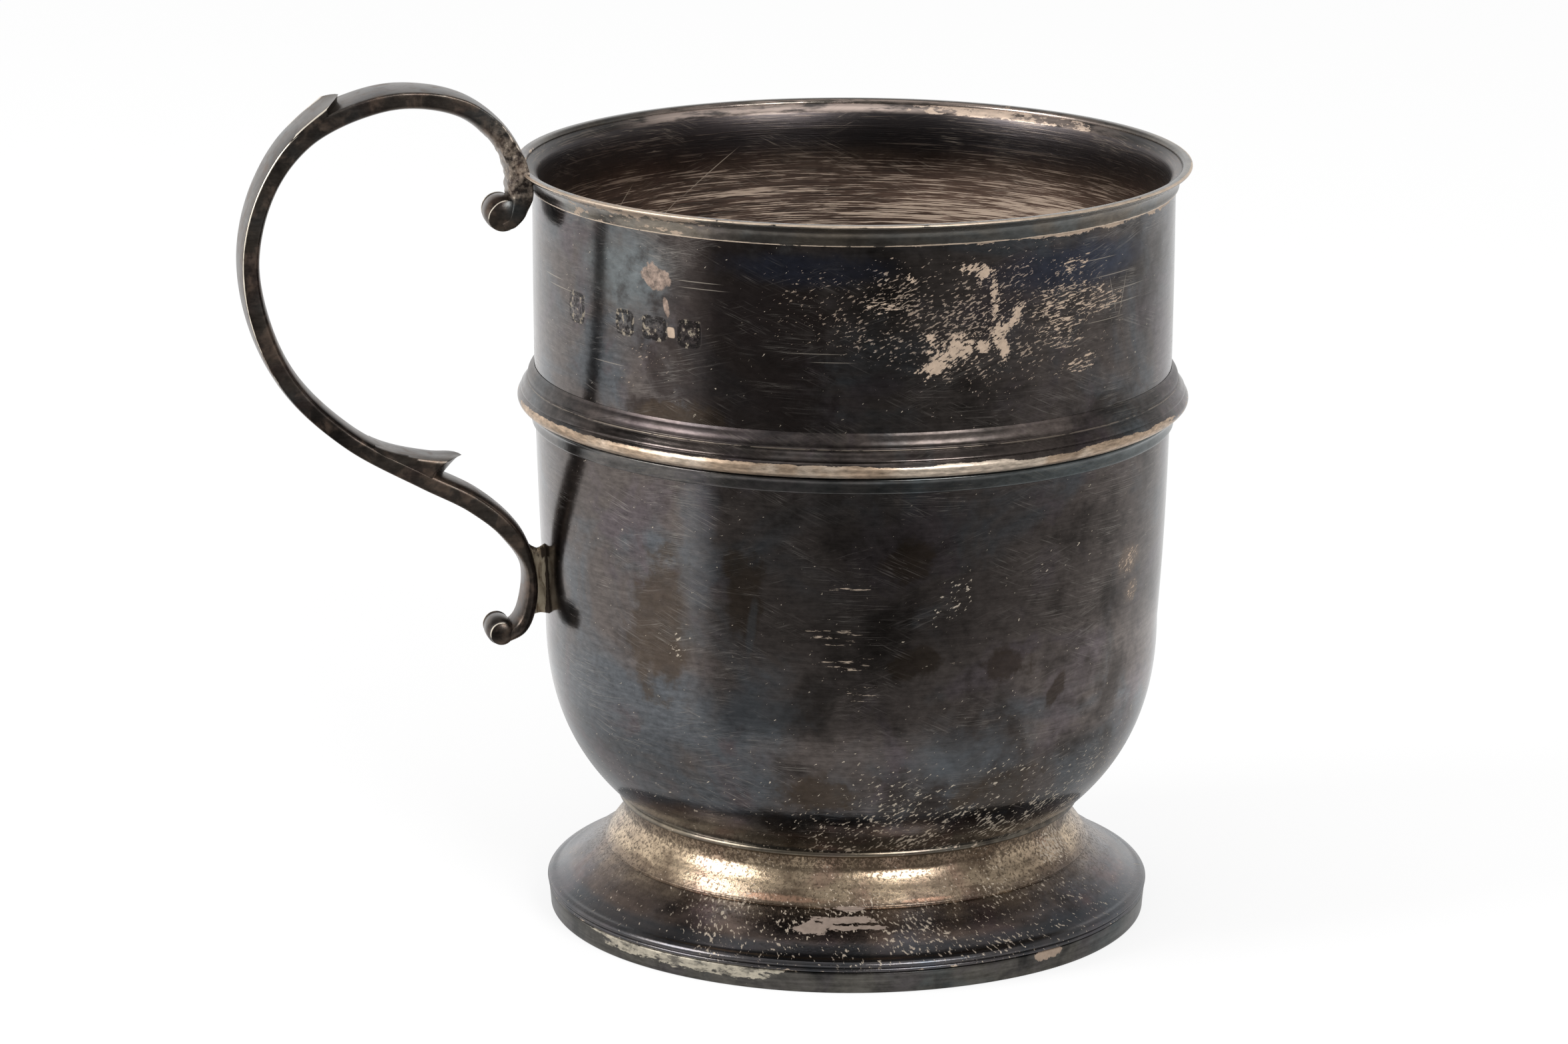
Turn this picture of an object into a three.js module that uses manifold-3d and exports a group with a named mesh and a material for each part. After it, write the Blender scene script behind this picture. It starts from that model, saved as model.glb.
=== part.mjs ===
// A footed christening mug in silver: a raised cup with a round bottom, an applied rim, a girdle
// moulding round the middle, a spun foot on a plain strip, a collar at its neck, and a cast
// double-scroll handle that is soldered to the rim and, through a lug, to the cup's wall.
// Millimetres, +Z up, with the handle towards -X. The pieces are made round the mug's own axis,
// and the group then moves so that the origin is under the middle of mug and handle together.
import * as THREE from 'three';
import { mergeVertices } from 'three/addons/utils/BufferGeometryUtils.js';
import Module from 'manifold-3d';

const wasm = await Module();
wasm.setup();

// Solder lines and facets
const seatGap = 0.1; // between turned pieces that are soldered together
const copeGap = 0.3; // between the handle or its lug and the turned piece that it is fitted round
const turnSegments = 60; // facets round every turned piece
const weldDistance = 0.00001;

// Cup
const mugHeight = 85.3; // from the table to the top of the lip
const cupRadius = 35.4; // outside of the wall under the rim
const cupWall = 0.8;
const cupBase = 6; // lowest point of the cup's underside
const bowlTop = 34; // where the wall starts to turn in
const bowlPower = 2.35; // how full the round bottom is: 2 is an ellipse
const wallTaper = 1.15; // how much narrower the wall is at bowlTop
const wallPower = 3; // how late the wall tapers
const bowlSteps = 9;
const wallSteps = 4;

// Rim moulding
const rimHeight = 2.8;
const rimReach = 1.8; // lip past the wall
const rimLip = 0.45; // moulding's thickness at the lip
const rimEdge = 0.35; // moulding's thickness at its lower edge
const lipRound = 0.25;
const rimHollowHeight = 1.85; // height above its lower edge where the moulding's hollow turns outwards
const flareSteps = 3;

// Girdle moulding, from its lower edge up: fillet, torus, sloping band and bead
const girdleBottom = 56.1;
const girdleFilletHeight = 1.7;
const girdleFilletReach = 0.45;
const girdleTorusHeight = 2.2;
const girdleTorusReach = 2.05;
const girdleBandHeight = 1.1;
const girdleBandReach = 1.35;
const girdleBeadHeight = 1.2;
const girdleBeadReach = 0.85;
const girdleQuirk = 0.35; // how far the grooves between the members stand out from the wall
const torusSteps = 6;
const beadSteps = 4;
const girdleSeatSteps = 2;

// Foot, from the table up: strip, edge bead, step, ovolo, crease, cavetto and neck
const footRadius = 33.5;
const stripHeight = 2.4;
const stripWall = 1;
const stripLean = 0.2; // how much wider the strip is at its top
const footWall = 0.9;
const edgeReach = 0.35; // edge bead past the strip
const edgeHeight = 1.3;
const edgeRound = 0.45; // rounding of the bead, above and below
const edgeReturn = 0.5; // how far the bead's top turns in
const stepSetback = 1.1; // step in from the strip's lower edge
const stepRise = 1.65; // step above the strip
const ovoloSwell = 1.8; // how far the ovolo's bulge stands in and up from the step
const creaseHeight = 7.75;
const neckRadius = 25.1;
const neckLength = 1.15; // upright stretch under the cup, above the cavetto
const cavettoReach = 2.3; // crease past the neck
const cavettoTurnReach = 0.2; // how far outside the neck the cavetto turns up
const cavettoTurnHeight = 1.85; // how far above the crease it turns up
const footSteps = 4;

// Collar
const collarReach = 0.95; // past the neck
const collarDrop = 0.45; // below the joint of neck and cup
const collarBelly = 0.35; // height of its upright side
const collarRound = 0.3; // rounding above and below that side

// Handle: the strip is wide across and thin in its own plane
const handleReach = 31.45; // from the wall to the middle of the strip at its furthest
const handleWidth = 5.9;
const stripThickness = 1.8;
const tailWidth = 4.9;
const lugHeight = 39.5; // middle of the lower seat
const lugLength = 8.2;
const lugWidth = 3.6;
const lugReach = 1.6; // from the upper wall to the middle of the strip at the lug
const headReach = 3.9; // upper curl's furthest station out from the wall
const headDrop = 6.1; // upper curl's lowest station below the lip
const tailDrop = 6.6; // lower curl's lowest station below the lug's middle
const upperVolute = { reach: 3.7, rise: -4.6, radius: 2.3, length: 5.2 };
const lowerVolute = { reach: 4.2, rise: -5.75, radius: 2.05, length: 4.6 };
const voluteChamfer = 0.4;
const voluteSegments = 20;
const upperSpur = { at: 0.275, length: 4.6, rise: 0.95, hollowDepth: 0.2 };
const lowerSpur = { at: 0.797, length: 6.6, rise: 2.6, hollowDepth: 0.5 };
const spurWidthShare = 0.94; // of the strip's width
const spurRoot = 0.9; // of the strip's half thickness, where a spur leaves its face
const spurSweep = 1.5; // how late a spur rises to its tip: 1 is a straight ramp
const spurSteps = 4;
const handleSteps = 60;
const mouthDepth = 11.2; // how far below the rim the upper seat keeps clear of the wall

// Stations of the strip's middle line, in shares of the lengths above: out from the wall, height
// and thickness. In the upper curl they are shares of headReach, of headDrop above the lip and of
// stripThickness.
const upperCurl = [
  [0.95, -1, 0.85],
  [0.64, -0.92, 1],
  [0.5, -0.72, 1.3],
  [0.49, -0.38, 1.6],
  [0.67, 0.18, 1.45],
  [1, 0.59, 1.2],
];

// In the bow: of handleReach, of the way from lug to lip, and of stripThickness.
const bow = [
  [0.258, 1.155, 1.05],
  [0.452, 1.183, 1],
  [0.623, 1.163, 1.05],
  [0.811, 1.098, 1.15],
  [0.936, 0.983, 1],
  [0.998, 0.819, 1],
  [0.965, 0.655, 1.1],
  [0.863, 0.508, 1.05],
  [0.666, 0.374, 1],
  [0.407, 0.271, 1.1],
  [0.229, 0.204, 1.15],
];

// In the lower curl: of lugReach, of tailDrop above the lug's middle, and of stripThickness.
const lowerCurl = [
  [2.1, 0.85, 1.1],
  [1, 0.18, 1],
  [1.1, -0.44, 1.3],
  [1.4, -0.8, 1.3],
  [2.25, -1, 0.95],
];

// The strip's section: [share of half the width, share of half the thickness outwards].
// The outer face is nearly flat between sharp arrises, and the inner face is rounded.
const stripSection = [
  [-1, 0.85],
  [0, 1],
  [1, 0.85],
  [1, -0.35],
  [0.62, -0.85],
  [0, -1],
  [-0.62, -0.85],
  [-1, -0.35],
];

const rimBottom = mugHeight - rimHeight;
const lipRadius = cupRadius + rimReach;
const bowlRadius = cupRadius - wallTaper;
const bowlDepth = bowlTop - cupBase;
const lipFlare = rimReach - rimLip - seatGap;
const handleRise = mugHeight - lugHeight;
const stepRadius = footRadius - stepSetback;
const creaseRadius = neckRadius + cavettoReach;
const girdleHeight = girdleFilletHeight + girdleTorusHeight + girdleBandHeight + girdleBeadHeight;

function cupOuterRadius(height) {
  if (height >= rimBottom) {
    return cupRadius + lipFlare * ((height - rimBottom) / rimHeight) ** 2;
  }
  if (height >= bowlTop) {
    return cupRadius - wallTaper * ((rimBottom - height) / (rimBottom - bowlTop)) ** wallPower;
  }
  const depth = (bowlTop - height) / bowlDepth;
  return bowlRadius * (1 - depth ** bowlPower) ** (1 / bowlPower);
}

function cupUnderside(radius) {
  return bowlTop - bowlDepth * (1 - (radius / bowlRadius) ** bowlPower) ** (1 / bowlPower);
}

function wallPoints(from, to, steps, gap = 0) {
  return Array.from({ length: steps + 1 }, (_, i) => {
    const height = from + ((to - from) * i) / steps;
    return new THREE.Vector2(cupOuterRadius(height) + gap, height);
  });
}

function cupOutline() {
  const bowl = Array.from({ length: bowlSteps }, (_, i) => {
    const angle = ((i / bowlSteps) * Math.PI) / 2;
    const radius = bowlRadius * Math.sin(angle) ** (2 / bowlPower);
    const height = bowlTop - bowlDepth * Math.cos(angle) ** (2 / bowlPower);
    return new THREE.Vector2(radius, height);
  });
  const wall = wallPoints(bowlTop, rimBottom, wallSteps);
  const flare = wallPoints(rimBottom, mugHeight, flareSteps).slice(1);
  return [...bowl, ...wall, ...flare];
}

// Moves an open outline sideways, to the left of its direction.
function inset(outline, distance) {
  return outline.map((point, i) => {
    const before = outline[Math.max(i - 1, 0)];
    const after = outline[Math.min(i + 1, outline.length - 1)];
    const along = after.clone().sub(before).normalize();
    return new THREE.Vector2(point.x - along.y * distance, point.y + along.x * distance);
  });
}

function curvePoints(from, control, to, steps) {
  const curve = new THREE.QuadraticBezierCurve(
    new THREE.Vector2(...from),
    new THREE.Vector2(...control),
    new THREE.Vector2(...to),
  );
  return curve.getPoints(steps);
}

// Merges the vertices that coincide and leaves out the triangles that collapse on the axis.
function weld(geometry) {
  geometry.deleteAttribute('normal');
  geometry.deleteAttribute('uv');
  const merged = mergeVertices(geometry, weldDistance);
  const corners = [];
  for (let i = 0; i < merged.index.count; i += 3) {
    const [a, b, c] = [0, 1, 2].map((k) => merged.index.getX(i + k));
    if (a !== b && b !== c && c !== a) {
      corners.push(a, b, c);
    }
  }
  merged.setIndex(corners);
  merged.computeVertexNormals();
  return merged;
}

// Turns a closed outline of [radius, height] points round the mug's axis.
// The outline runs anticlockwise, with the radius to the right and the height up.
function turned(outline) {
  const closed = [...outline, outline[0]].map((p) => new THREE.Vector2(p.x, p.y));
  const geometry = new THREE.LatheGeometry(closed, turnSegments);
  geometry.rotateX(Math.PI / 2);
  return weld(geometry);
}

function toSolid(geometry) {
  const mesh = new wasm.Mesh({
    numProp: 3,
    vertProperties: new Float32Array(geometry.attributes.position.array),
    triVerts: new Uint32Array(geometry.index.array),
  });
  return new wasm.Manifold(mesh);
}

function toGeometry(solid) {
  const mesh = solid.getMesh();
  const geometry = new THREE.BufferGeometry();
  geometry.setAttribute('position', new THREE.Float32BufferAttribute(mesh.vertProperties, 3));
  geometry.setIndex(Array.from(mesh.triVerts));
  geometry.computeVertexNormals();
  return geometry;
}

function bodyShell() {
  const outside = cupOutline();
  const inside = inset(outside, cupWall);
  inside[0].set(0, cupBase + cupWall);
  inside[inside.length - 1].y = mugHeight;
  return turned([...outside, ...inside.reverse()]);
}

// Outside of the rim, from its lower edge up to the rounded lip.
function rimOutline() {
  const edgeRadius = cupRadius + seatGap + rimEdge;
  const hollow = curvePoints(
    [edgeRadius, rimBottom],
    [edgeRadius + lipRound, rimBottom + rimHollowHeight],
    [lipRadius, mugHeight - 2 * lipRound],
    flareSteps,
  );
  return [
    ...hollow,
    new THREE.Vector2(lipRadius, mugHeight - lipRound),
    new THREE.Vector2(lipRadius - lipRound, mugHeight),
  ];
}

function rimMoulding() {
  const seat = wallPoints(rimBottom, mugHeight, flareSteps, seatGap).reverse();
  return turned([...rimOutline(), ...seat]);
}

// A half-round member that stands out between two grooves.
function roll(bottom, height, groove, reach, steps) {
  return Array.from({ length: steps + 1 }, (_, i) => {
    const angle = (i / steps) * Math.PI;
    const standout = groove + (reach - groove) * Math.sin(angle);
    const level = bottom + (height * (1 - Math.cos(angle))) / 2;
    return new THREE.Vector2(cupOuterRadius(level) + seatGap + standout, level);
  });
}

function girdleMoulding() {
  const torusBottom = girdleBottom + girdleFilletHeight;
  const bandBottom = torusBottom + girdleTorusHeight;
  const beadBottom = bandBottom + girdleBandHeight;
  const stand = (level, reach) =>
    new THREE.Vector2(cupOuterRadius(level) + seatGap + reach, level);
  const outside = [
    stand(girdleBottom, girdleQuirk),
    ...roll(torusBottom, girdleTorusHeight, girdleFilletReach, girdleTorusReach, torusSteps),
    stand(bandBottom, girdleBandReach),
    stand(beadBottom, girdleBeadReach),
    ...roll(beadBottom, girdleBeadHeight, girdleQuirk, girdleBeadReach, beadSteps),
  ];
  const girdleTop = girdleBottom + girdleHeight;
  const seat = wallPoints(girdleBottom, girdleTop, girdleSeatSteps, seatGap).reverse();
  return turned([...outside, ...seat]);
}

function footStrip() {
  const inner = footRadius - stripWall;
  return turned([
    new THREE.Vector2(inner, 0),
    new THREE.Vector2(footRadius, 0),
    new THREE.Vector2(footRadius + stripLean, stripHeight),
    new THREE.Vector2(inner, stripHeight),
  ]);
}

function footShell() {
  const bottom = stripHeight + seatGap;
  const edge = footRadius + edgeReach;
  const stepHeight = stripHeight + stepRise;
  const neckTop = cupUnderside(neckRadius) - seatGap;
  const outside = [
    new THREE.Vector2(footRadius + stripLean, bottom),
    new THREE.Vector2(edge, bottom + edgeRound),
    new THREE.Vector2(edge, bottom + edgeHeight - edgeRound),
    new THREE.Vector2(edge - edgeReturn, bottom + edgeHeight),
    ...curvePoints(
      [stepRadius, stepHeight],
      [stepRadius - ovoloSwell, stepHeight + ovoloSwell],
      [creaseRadius, creaseHeight],
      footSteps,
    ),
    ...curvePoints(
      [creaseRadius, creaseHeight],
      [neckRadius + cavettoTurnReach, creaseHeight + cavettoTurnHeight],
      [neckRadius, neckTop - neckLength],
      footSteps,
    ).slice(1),
    new THREE.Vector2(neckRadius, neckTop),
  ];
  const inside = inset(outside, footWall);
  inside[0].set(footRadius - stripWall, bottom);
  inside[1].set(footRadius - stripWall, bottom + seatGap);
  const neckInside = neckRadius - footWall;
  inside[inside.length - 1].set(neckInside, cupUnderside(neckInside) - seatGap);
  inside.splice(2, 3);
  return turned([...outside, ...inside.reverse()]);
}

function footCollar() {
  const inner = neckRadius + seatGap;
  const outer = neckRadius + collarReach;
  const bottom = cupUnderside(inner) - collarDrop;
  const seat = (radius) => new THREE.Vector2(radius, cupUnderside(radius) - seatGap);
  return turned([
    new THREE.Vector2(inner, bottom),
    new THREE.Vector2(outer - collarRound, bottom),
    new THREE.Vector2(outer, bottom + collarRound),
    new THREE.Vector2(outer, bottom + collarRound + collarBelly),
    seat(outer - collarRound),
    seat(inner),
  ]);
}

function handlePoint(out, height) {
  return new THREE.Vector3(-cupRadius - out, 0, height);
}

function handleStations() {
  const placed = (stations, reach, base, rise) =>
    stations.map(([out, up, thick]) => [
      out * reach,
      base + up * rise,
      thick * stripThickness,
    ]);
  return [
    ...placed(upperCurl, headReach, mugHeight, headDrop),
    ...placed(bow, handleReach, lugHeight, handleRise),
    ...placed(lowerCurl, lugReach, lugHeight, tailDrop),
  ];
}

// The strip's middle line, and its thickness at any share of the way along.
function handleLine() {
  const stations = handleStations();
  const path = new THREE.CatmullRomCurve3(stations.map(([out, z]) => handlePoint(out, z)));
  const thickness = (share) => {
    const place = share * (stations.length - 1);
    const i = Math.min(Math.floor(place), stations.length - 2);
    return THREE.MathUtils.lerp(stations[i][2], stations[i + 1][2], place - i);
  };
  return { path, thickness };
}

// The place on the middle line, the way on along it and the way out through the outer face.
function handleFrame(path, share) {
  const place = path.getPoint(share);
  const along = path.getTangent(share);
  const outward = new THREE.Vector3(along.z, 0, -along.x);
  return { place, along, outward };
}

// Joins rings of points into a closed skin with flat ends.
function loft(rings) {
  const around = rings[0].length;
  const corners = [];
  for (let i = 0; i < rings.length - 1; i += 1) {
    for (let k = 0; k < around; k += 1) {
      const [a, b] = [i * around + k, i * around + ((k + 1) % around)];
      corners.push(a, b, a + around, b, b + around, a + around);
    }
  }
  const last = (rings.length - 1) * around;
  for (let k = 1; k < around - 1; k += 1) {
    corners.push(0, k + 1, k);
    corners.push(last, last + k, last + k + 1);
  }
  const geometry = new THREE.BufferGeometry().setFromPoints(rings.flat());
  geometry.setIndex(corners);
  return geometry;
}

function stripSolid(gap = 0) {
  const { path, thickness } = handleLine();
  const rings = Array.from({ length: handleSteps + 1 }, (_, i) => {
    const share = i / handleSteps;
    const { place, outward } = handleFrame(path, share);
    const halfWidth = THREE.MathUtils.lerp(handleWidth, tailWidth, share) / 2 + gap;
    const halfThick = thickness(share) / 2 + gap;
    return stripSection.map(([across, out]) => {
      const point = place.clone().addScaledVector(outward, out * halfThick);
      point.y = across * halfWidth;
      return point;
    });
  });
  return toSolid(loft(rings));
}

// A rolled scroll end: a short drum across the strip.
function voluteSolid({ reach, rise, radius, length }, seatHeight) {
  const half = length / 2;
  const drum = new THREE.LatheGeometry(
    [
      new THREE.Vector2(0, -half),
      new THREE.Vector2(radius - voluteChamfer, -half),
      new THREE.Vector2(radius, voluteChamfer - half),
      new THREE.Vector2(radius, half - voluteChamfer),
      new THREE.Vector2(radius - voluteChamfer, half),
      new THREE.Vector2(0, half),
    ],
    voluteSegments,
  );
  const centre = handlePoint(reach, seatHeight + rise);
  drum.translate(centre.x, centre.y, centre.z);
  return toSolid(weld(drum));
}

// A pointed leaf that lifts off one face of the strip. It follows the strip for its length in the
// direction that heading gives, rises to its tip, and ends there in a hollow end face.
function spurSolid({ at, length, rise, hollowDepth }, heading, side) {
  const { path, thickness } = handleLine();
  const spot = (back, lift) => {
    const share = path.getUtoTmapping(at - (heading * back) / path.getLength());
    const { place, outward } = handleFrame(path, share);
    const face = thickness(share) / 2;
    return place.addScaledVector(outward, side * lift(face));
  };
  const stops = Array.from({ length: spurSteps + 1 }, (_, i) => i / spurSteps);
  const lift = (face, t) => face * spurRoot + rise * t ** spurSweep;
  const top = stops.map((t) => spot(length * (1 - t), (face) => lift(face, t)));
  const end = spot(hollowDepth, (face) => face + rise / 2);
  const root = stops.map((t) => spot(length * t, () => 0));
  const outline = [...top, end, ...root].map((p) => new THREE.Vector2(p.x, p.z));
  const width = THREE.MathUtils.lerp(handleWidth, tailWidth, at) * spurWidthShare;
  const options = { depth: width, bevelEnabled: false };
  const leaf = new THREE.ExtrudeGeometry(new THREE.Shape(outline), options);
  leaf.translate(0, 0, -width / 2);
  leaf.rotateX(Math.PI / 2);
  return toSolid(weld(leaf));
}

// The space that the upper seat keeps clear: the cup's wall and the rim, each grown by a gap.
function mouthClearance() {
  const below = rimBottom - mouthDepth;
  const wall = wallPoints(below, rimBottom - copeGap, wallSteps, copeGap);
  const rim = rimOutline().map((p) => new THREE.Vector2(p.x + copeGap, p.y));
  rim[0].y -= copeGap;
  return toSolid(
    turned([
      new THREE.Vector2(0, below),
      ...wall,
      ...rim,
      new THREE.Vector2(lipRadius - lipRound, mugHeight + copeGap),
      new THREE.Vector2(0, mugHeight + copeGap),
    ]),
  );
}

function handle() {
  return toGeometry(
    stripSolid()
      .add(voluteSolid(upperVolute, mugHeight))
      .add(voluteSolid(lowerVolute, lugHeight))
      .add(spurSolid(upperSpur, -1, 1))
      .add(spurSolid(lowerSpur, 1, -1))
      .subtract(mouthClearance()),
  );
}

// The lug fills the space between the cup's wall and the lower scroll.
function handleLug() {
  const from = lugHeight - lugLength / 2;
  const to = lugHeight + lugLength / 2;
  const inner = cupOuterRadius(from) - cupWall;
  const outer = cupRadius + lugReach;
  const block = new THREE.BoxGeometry(outer - inner, lugWidth, lugLength);
  block.translate(-(outer + inner) / 2, 0, lugHeight);
  const wall = turned([
    new THREE.Vector2(0, from - lugWidth),
    ...wallPoints(from - lugWidth, to + lugWidth, wallSteps, copeGap),
    new THREE.Vector2(0, to + lugWidth),
  ]);
  return toGeometry(toSolid(weld(block)).subtract(toSolid(wall)).subtract(stripSolid(copeGap)));
}

function piece(name, geometry, colour, roughness) {
  const material = new THREE.MeshStandardMaterial({ color: colour, roughness, metalness: 1 });
  const mesh = new THREE.Mesh(geometry, material);
  mesh.name = name;
  return mesh;
}

const pieces = new THREE.Group();
pieces.add(
  piece('body_shell', bodyShell(), 0x6b6664, 0.35),
  piece('rim_moulding', rimMoulding(), 0x8c8779, 0.32),
  piece('girdle_moulding', girdleMoulding(), 0x958b80, 0.3),
  piece('foot_shell', footShell(), 0x77694f, 0.34),
  piece('foot_collar', footCollar(), 0xa39a85, 0.3),
  piece('foot_strip', footStrip(), 0x6f726a, 0.36),
  piece('handle', handle(), 0x5b5752, 0.34),
  piece('handle_lug', handleLug(), 0x8a7c66, 0.45),
);

const middle = new THREE.Box3().setFromObject(pieces).getCenter(new THREE.Vector3());
pieces.position.x = -middle.x;

const mug = new THREE.Group();
mug.add(pieces);

export default mug;
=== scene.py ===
import math

import bpy
from mathutils import Matrix, Vector, noise


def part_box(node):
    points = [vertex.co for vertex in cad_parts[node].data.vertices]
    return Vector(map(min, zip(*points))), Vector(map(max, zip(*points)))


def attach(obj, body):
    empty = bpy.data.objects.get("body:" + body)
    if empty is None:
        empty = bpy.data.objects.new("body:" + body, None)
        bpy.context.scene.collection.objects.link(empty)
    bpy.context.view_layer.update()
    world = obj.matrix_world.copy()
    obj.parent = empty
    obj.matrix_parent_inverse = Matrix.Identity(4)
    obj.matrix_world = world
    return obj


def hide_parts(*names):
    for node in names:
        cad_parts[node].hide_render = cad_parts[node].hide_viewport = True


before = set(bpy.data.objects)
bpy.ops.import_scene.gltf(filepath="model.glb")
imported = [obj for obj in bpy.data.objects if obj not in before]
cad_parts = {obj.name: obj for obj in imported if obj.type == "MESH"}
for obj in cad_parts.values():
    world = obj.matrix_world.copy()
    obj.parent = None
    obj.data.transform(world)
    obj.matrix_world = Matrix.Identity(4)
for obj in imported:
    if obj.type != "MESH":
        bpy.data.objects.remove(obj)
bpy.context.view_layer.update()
scene = bpy.context.scene
scene.view_settings.view_transform = "Standard"

# The scene is in metres, and the mug's own sizes are written in millimetres.
mm = 0.001
stripLow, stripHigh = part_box("foot_strip")
axisX = (stripLow.x + stripHigh.x) / 2 / mm  # the cup's axis stands off the frame's origin
wallRadius = 35.4  # outside of the cup's wall under the rim; the handle is measured from it
turnSteps = 288  # facets round a turned piece
sharpAngle = 38  # degrees; smaller edges are shaded smooth
print("stage: frame loaded")


# Plain numbers and curves. An outline is a list of (radius, height), anticlockwise.
def lerp(low, high, share):
    return low + (high - low) * share


def spread(steps):
    return [i / steps for i in range(steps + 1)]


def eased(value, low, high):
    share = min(max((value - low) / (high - low), 0), 1)
    return share * share * (3 - 2 * share)


def signedPower(value, power):
    return math.copysign(abs(value) ** power, value)


def rounded(outline, radius, steps=3):
    # Each inner corner becomes a short curve; the two ends stay.
    soft = [outline[0]]
    for before, corner, after in zip(outline, outline[1:], outline[2:]):
        middle = Vector(corner)
        back = Vector(before) - middle
        on = Vector(after) - middle
        cut = min(radius, back.length / 2, on.length / 2)
        start = middle + back.normalized() * cut
        end = middle + on.normalized() * cut
        for share in spread(steps):
            spot = start.lerp(middle, share).lerp(middle.lerp(end, share), share)
            soft.append((spot.x, spot.y))
    soft.append(outline[-1])
    return soft


def flowing(points, steps):
    # A smooth curve through all the points.
    padded = [points[0], *points, points[-1]]
    line = []
    for a, b, c, d in zip(padded, padded[1:], padded[2:], padded[3:]):
        for i in range(steps):
            t = i / steps
            line.append(tuple(
                0.5 * (2 * q + (r - p) * t + (2 * p - 5 * q + 4 * r - s) * t ** 2
                       + (3 * q - p - 3 * r + s) * t ** 3)
                for p, q, r, s in zip(a, b, c, d)
            ))
    line.append(tuple(points[-1]))
    return line


# Skins. A shell holds its points in mm, its faces, their material numbers and marks per point.
def turned(arcs, waver=0.04, stretch=0.07, aside=0.0):
    # Arcs are (points, material number), each starting where the one before ends. A slight
    # unevenness in the round, from the hammer and the wear, keeps the reflections lively.
    tiny = 1e-6
    outline = []
    numbers = []
    for points, number in arcs:
        outline += points[:-1]
        numbers += [number] * (len(points) - 1)
    last = arcs[-1][0][-1]
    ended = abs(last[0]) < tiny
    if ended:
        outline.append(last)
    points = []
    rows = []
    for radius, height in outline:
        if radius < tiny:
            rows.append([len(points)] * turnSteps)
            points.append((axisX, 0, height))
            continue
        rows.append(list(range(len(points), len(points) + turnSteps)))
        for i in range(turnSteps):
            angle = 2 * math.pi * i / turnSteps
            x = radius * math.cos(angle)
            y = radius * math.sin(angle)
            swell = 1 + waver * noise.noise(Vector((x, y, height)) * stretch) / radius
            points.append((axisX + aside + x * swell, y * swell, height))
    pairs = list(zip(rows, rows[1:] if ended else rows[1:] + rows[:1]))
    faces = []
    kinds = []
    for (low, high), number in zip(pairs, numbers):
        for i in range(turnSteps):
            k = (i + 1) % turnSteps
            corners = [low[i], low[k], high[k], high[i]]
            face = [c for j, c in enumerate(corners) if c != corners[j - 1]]
            if len(face) > 2:
                faces.append(face)
                kinds.append(number)
    return {"points": points, "faces": faces, "kinds": kinds, "marks": {}}


def lofted(rings, marks):
    # Joins rings of points into a closed skin with flat ends.
    around = len(rings[0])
    points = [point for ring in rings for point in ring]
    faces = []
    for i in range(len(rings) - 1):
        for k in range(around):
            on = (k + 1) % around
            faces.append([i * around + k, i * around + on, (i + 1) * around + on, (i + 1) * around + k])
    faces.append(list(reversed(range(around))))
    faces.append(list(range(len(points) - around, len(points))))
    return {"points": points, "faces": faces, "kinds": [0] * len(faces), "marks": marks}


def makePiece(name, shells, materials, node):
    # The piece stands for the solid of that node, and everything on the mug rides on its one body.
    mesh = bpy.data.meshes.new(name)
    points = []
    faces = []
    kinds = []
    for shell in shells:
        start = len(points)
        points += shell["points"]
        faces += [[start + corner for corner in face] for face in shell["faces"]]
        kinds += shell["kinds"]
    mesh.from_pydata([Vector(point) * mm for point in points], [], faces)
    for mark in {mark for shell in shells for mark in shell["marks"]}:
        values = []
        for shell in shells:
            values += shell["marks"].get(mark, [0.0] * len(shell["points"]))
        mesh.attributes.new(mark, "FLOAT", "POINT").data.foreach_set("value", values)
    for material in materials:
        mesh.materials.append(material)
    mesh.polygons.foreach_set("material_index", kinds)
    mesh.polygons.foreach_set("use_smooth", [True] * len(faces))
    mesh.set_sharp_from_angle(angle=math.radians(sharpAngle))
    mesh.update()
    piece = bpy.data.objects.new(name, mesh)
    scene.collection.objects.link(piece)
    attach(piece, "root")
    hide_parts(node)
    print("stage:", name, "made")


# Shader nodes. A Reading is what a socket gives, and plain arithmetic on it adds Math nodes.
class Reading:
    def __init__(self, socket):
        self.socket = socket
        self.tree = socket.id_data

    def __add__(self, other):
        return calc("ADD", self, other)

    def __sub__(self, other):
        return calc("SUBTRACT", self, other)

    def __rsub__(self, other):
        return calc("SUBTRACT", other, self)

    def __mul__(self, other):
        return calc("MULTIPLY", self, other)

    def __truediv__(self, other):
        return calc("DIVIDE", self, other)

    def __rtruediv__(self, other):
        return calc("DIVIDE", other, self)

    def __pow__(self, other):
        return calc("POWER", self, other)

    def __abs__(self):
        return calc("ABSOLUTE", self)


def feed(source, socket):
    if isinstance(source, Reading):
        source.tree.links.new(source.socket, socket)
    elif socket.type == "RGBA":
        socket.default_value = (*source, 1)
    else:
        socket.default_value = source


def put(tree, kind, inputs=None, **settings):
    made = tree.nodes.new(kind)
    for setting, value in settings.items():
        setattr(made, setting, value)
    for socket, source in (inputs or {}).items():
        feed(source, made.inputs[socket])
    return made


def allFrom(made):
    return {socket.name: Reading(socket) for socket in made.outputs}


def treeOf(inputs):
    return next(source.tree for source in inputs.values() if isinstance(source, Reading))


def read(kind, inputs, output=0, **settings):
    # One output of a new node, in the tree that its inputs come from.
    return Reading(put(treeOf(inputs), kind, inputs, **settings).outputs[output])


def calc(operation, *values):
    return read("ShaderNodeMath", dict(enumerate(values)), operation=operation)


def most(first, second):
    return calc("MAXIMUM", first, second)


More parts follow.
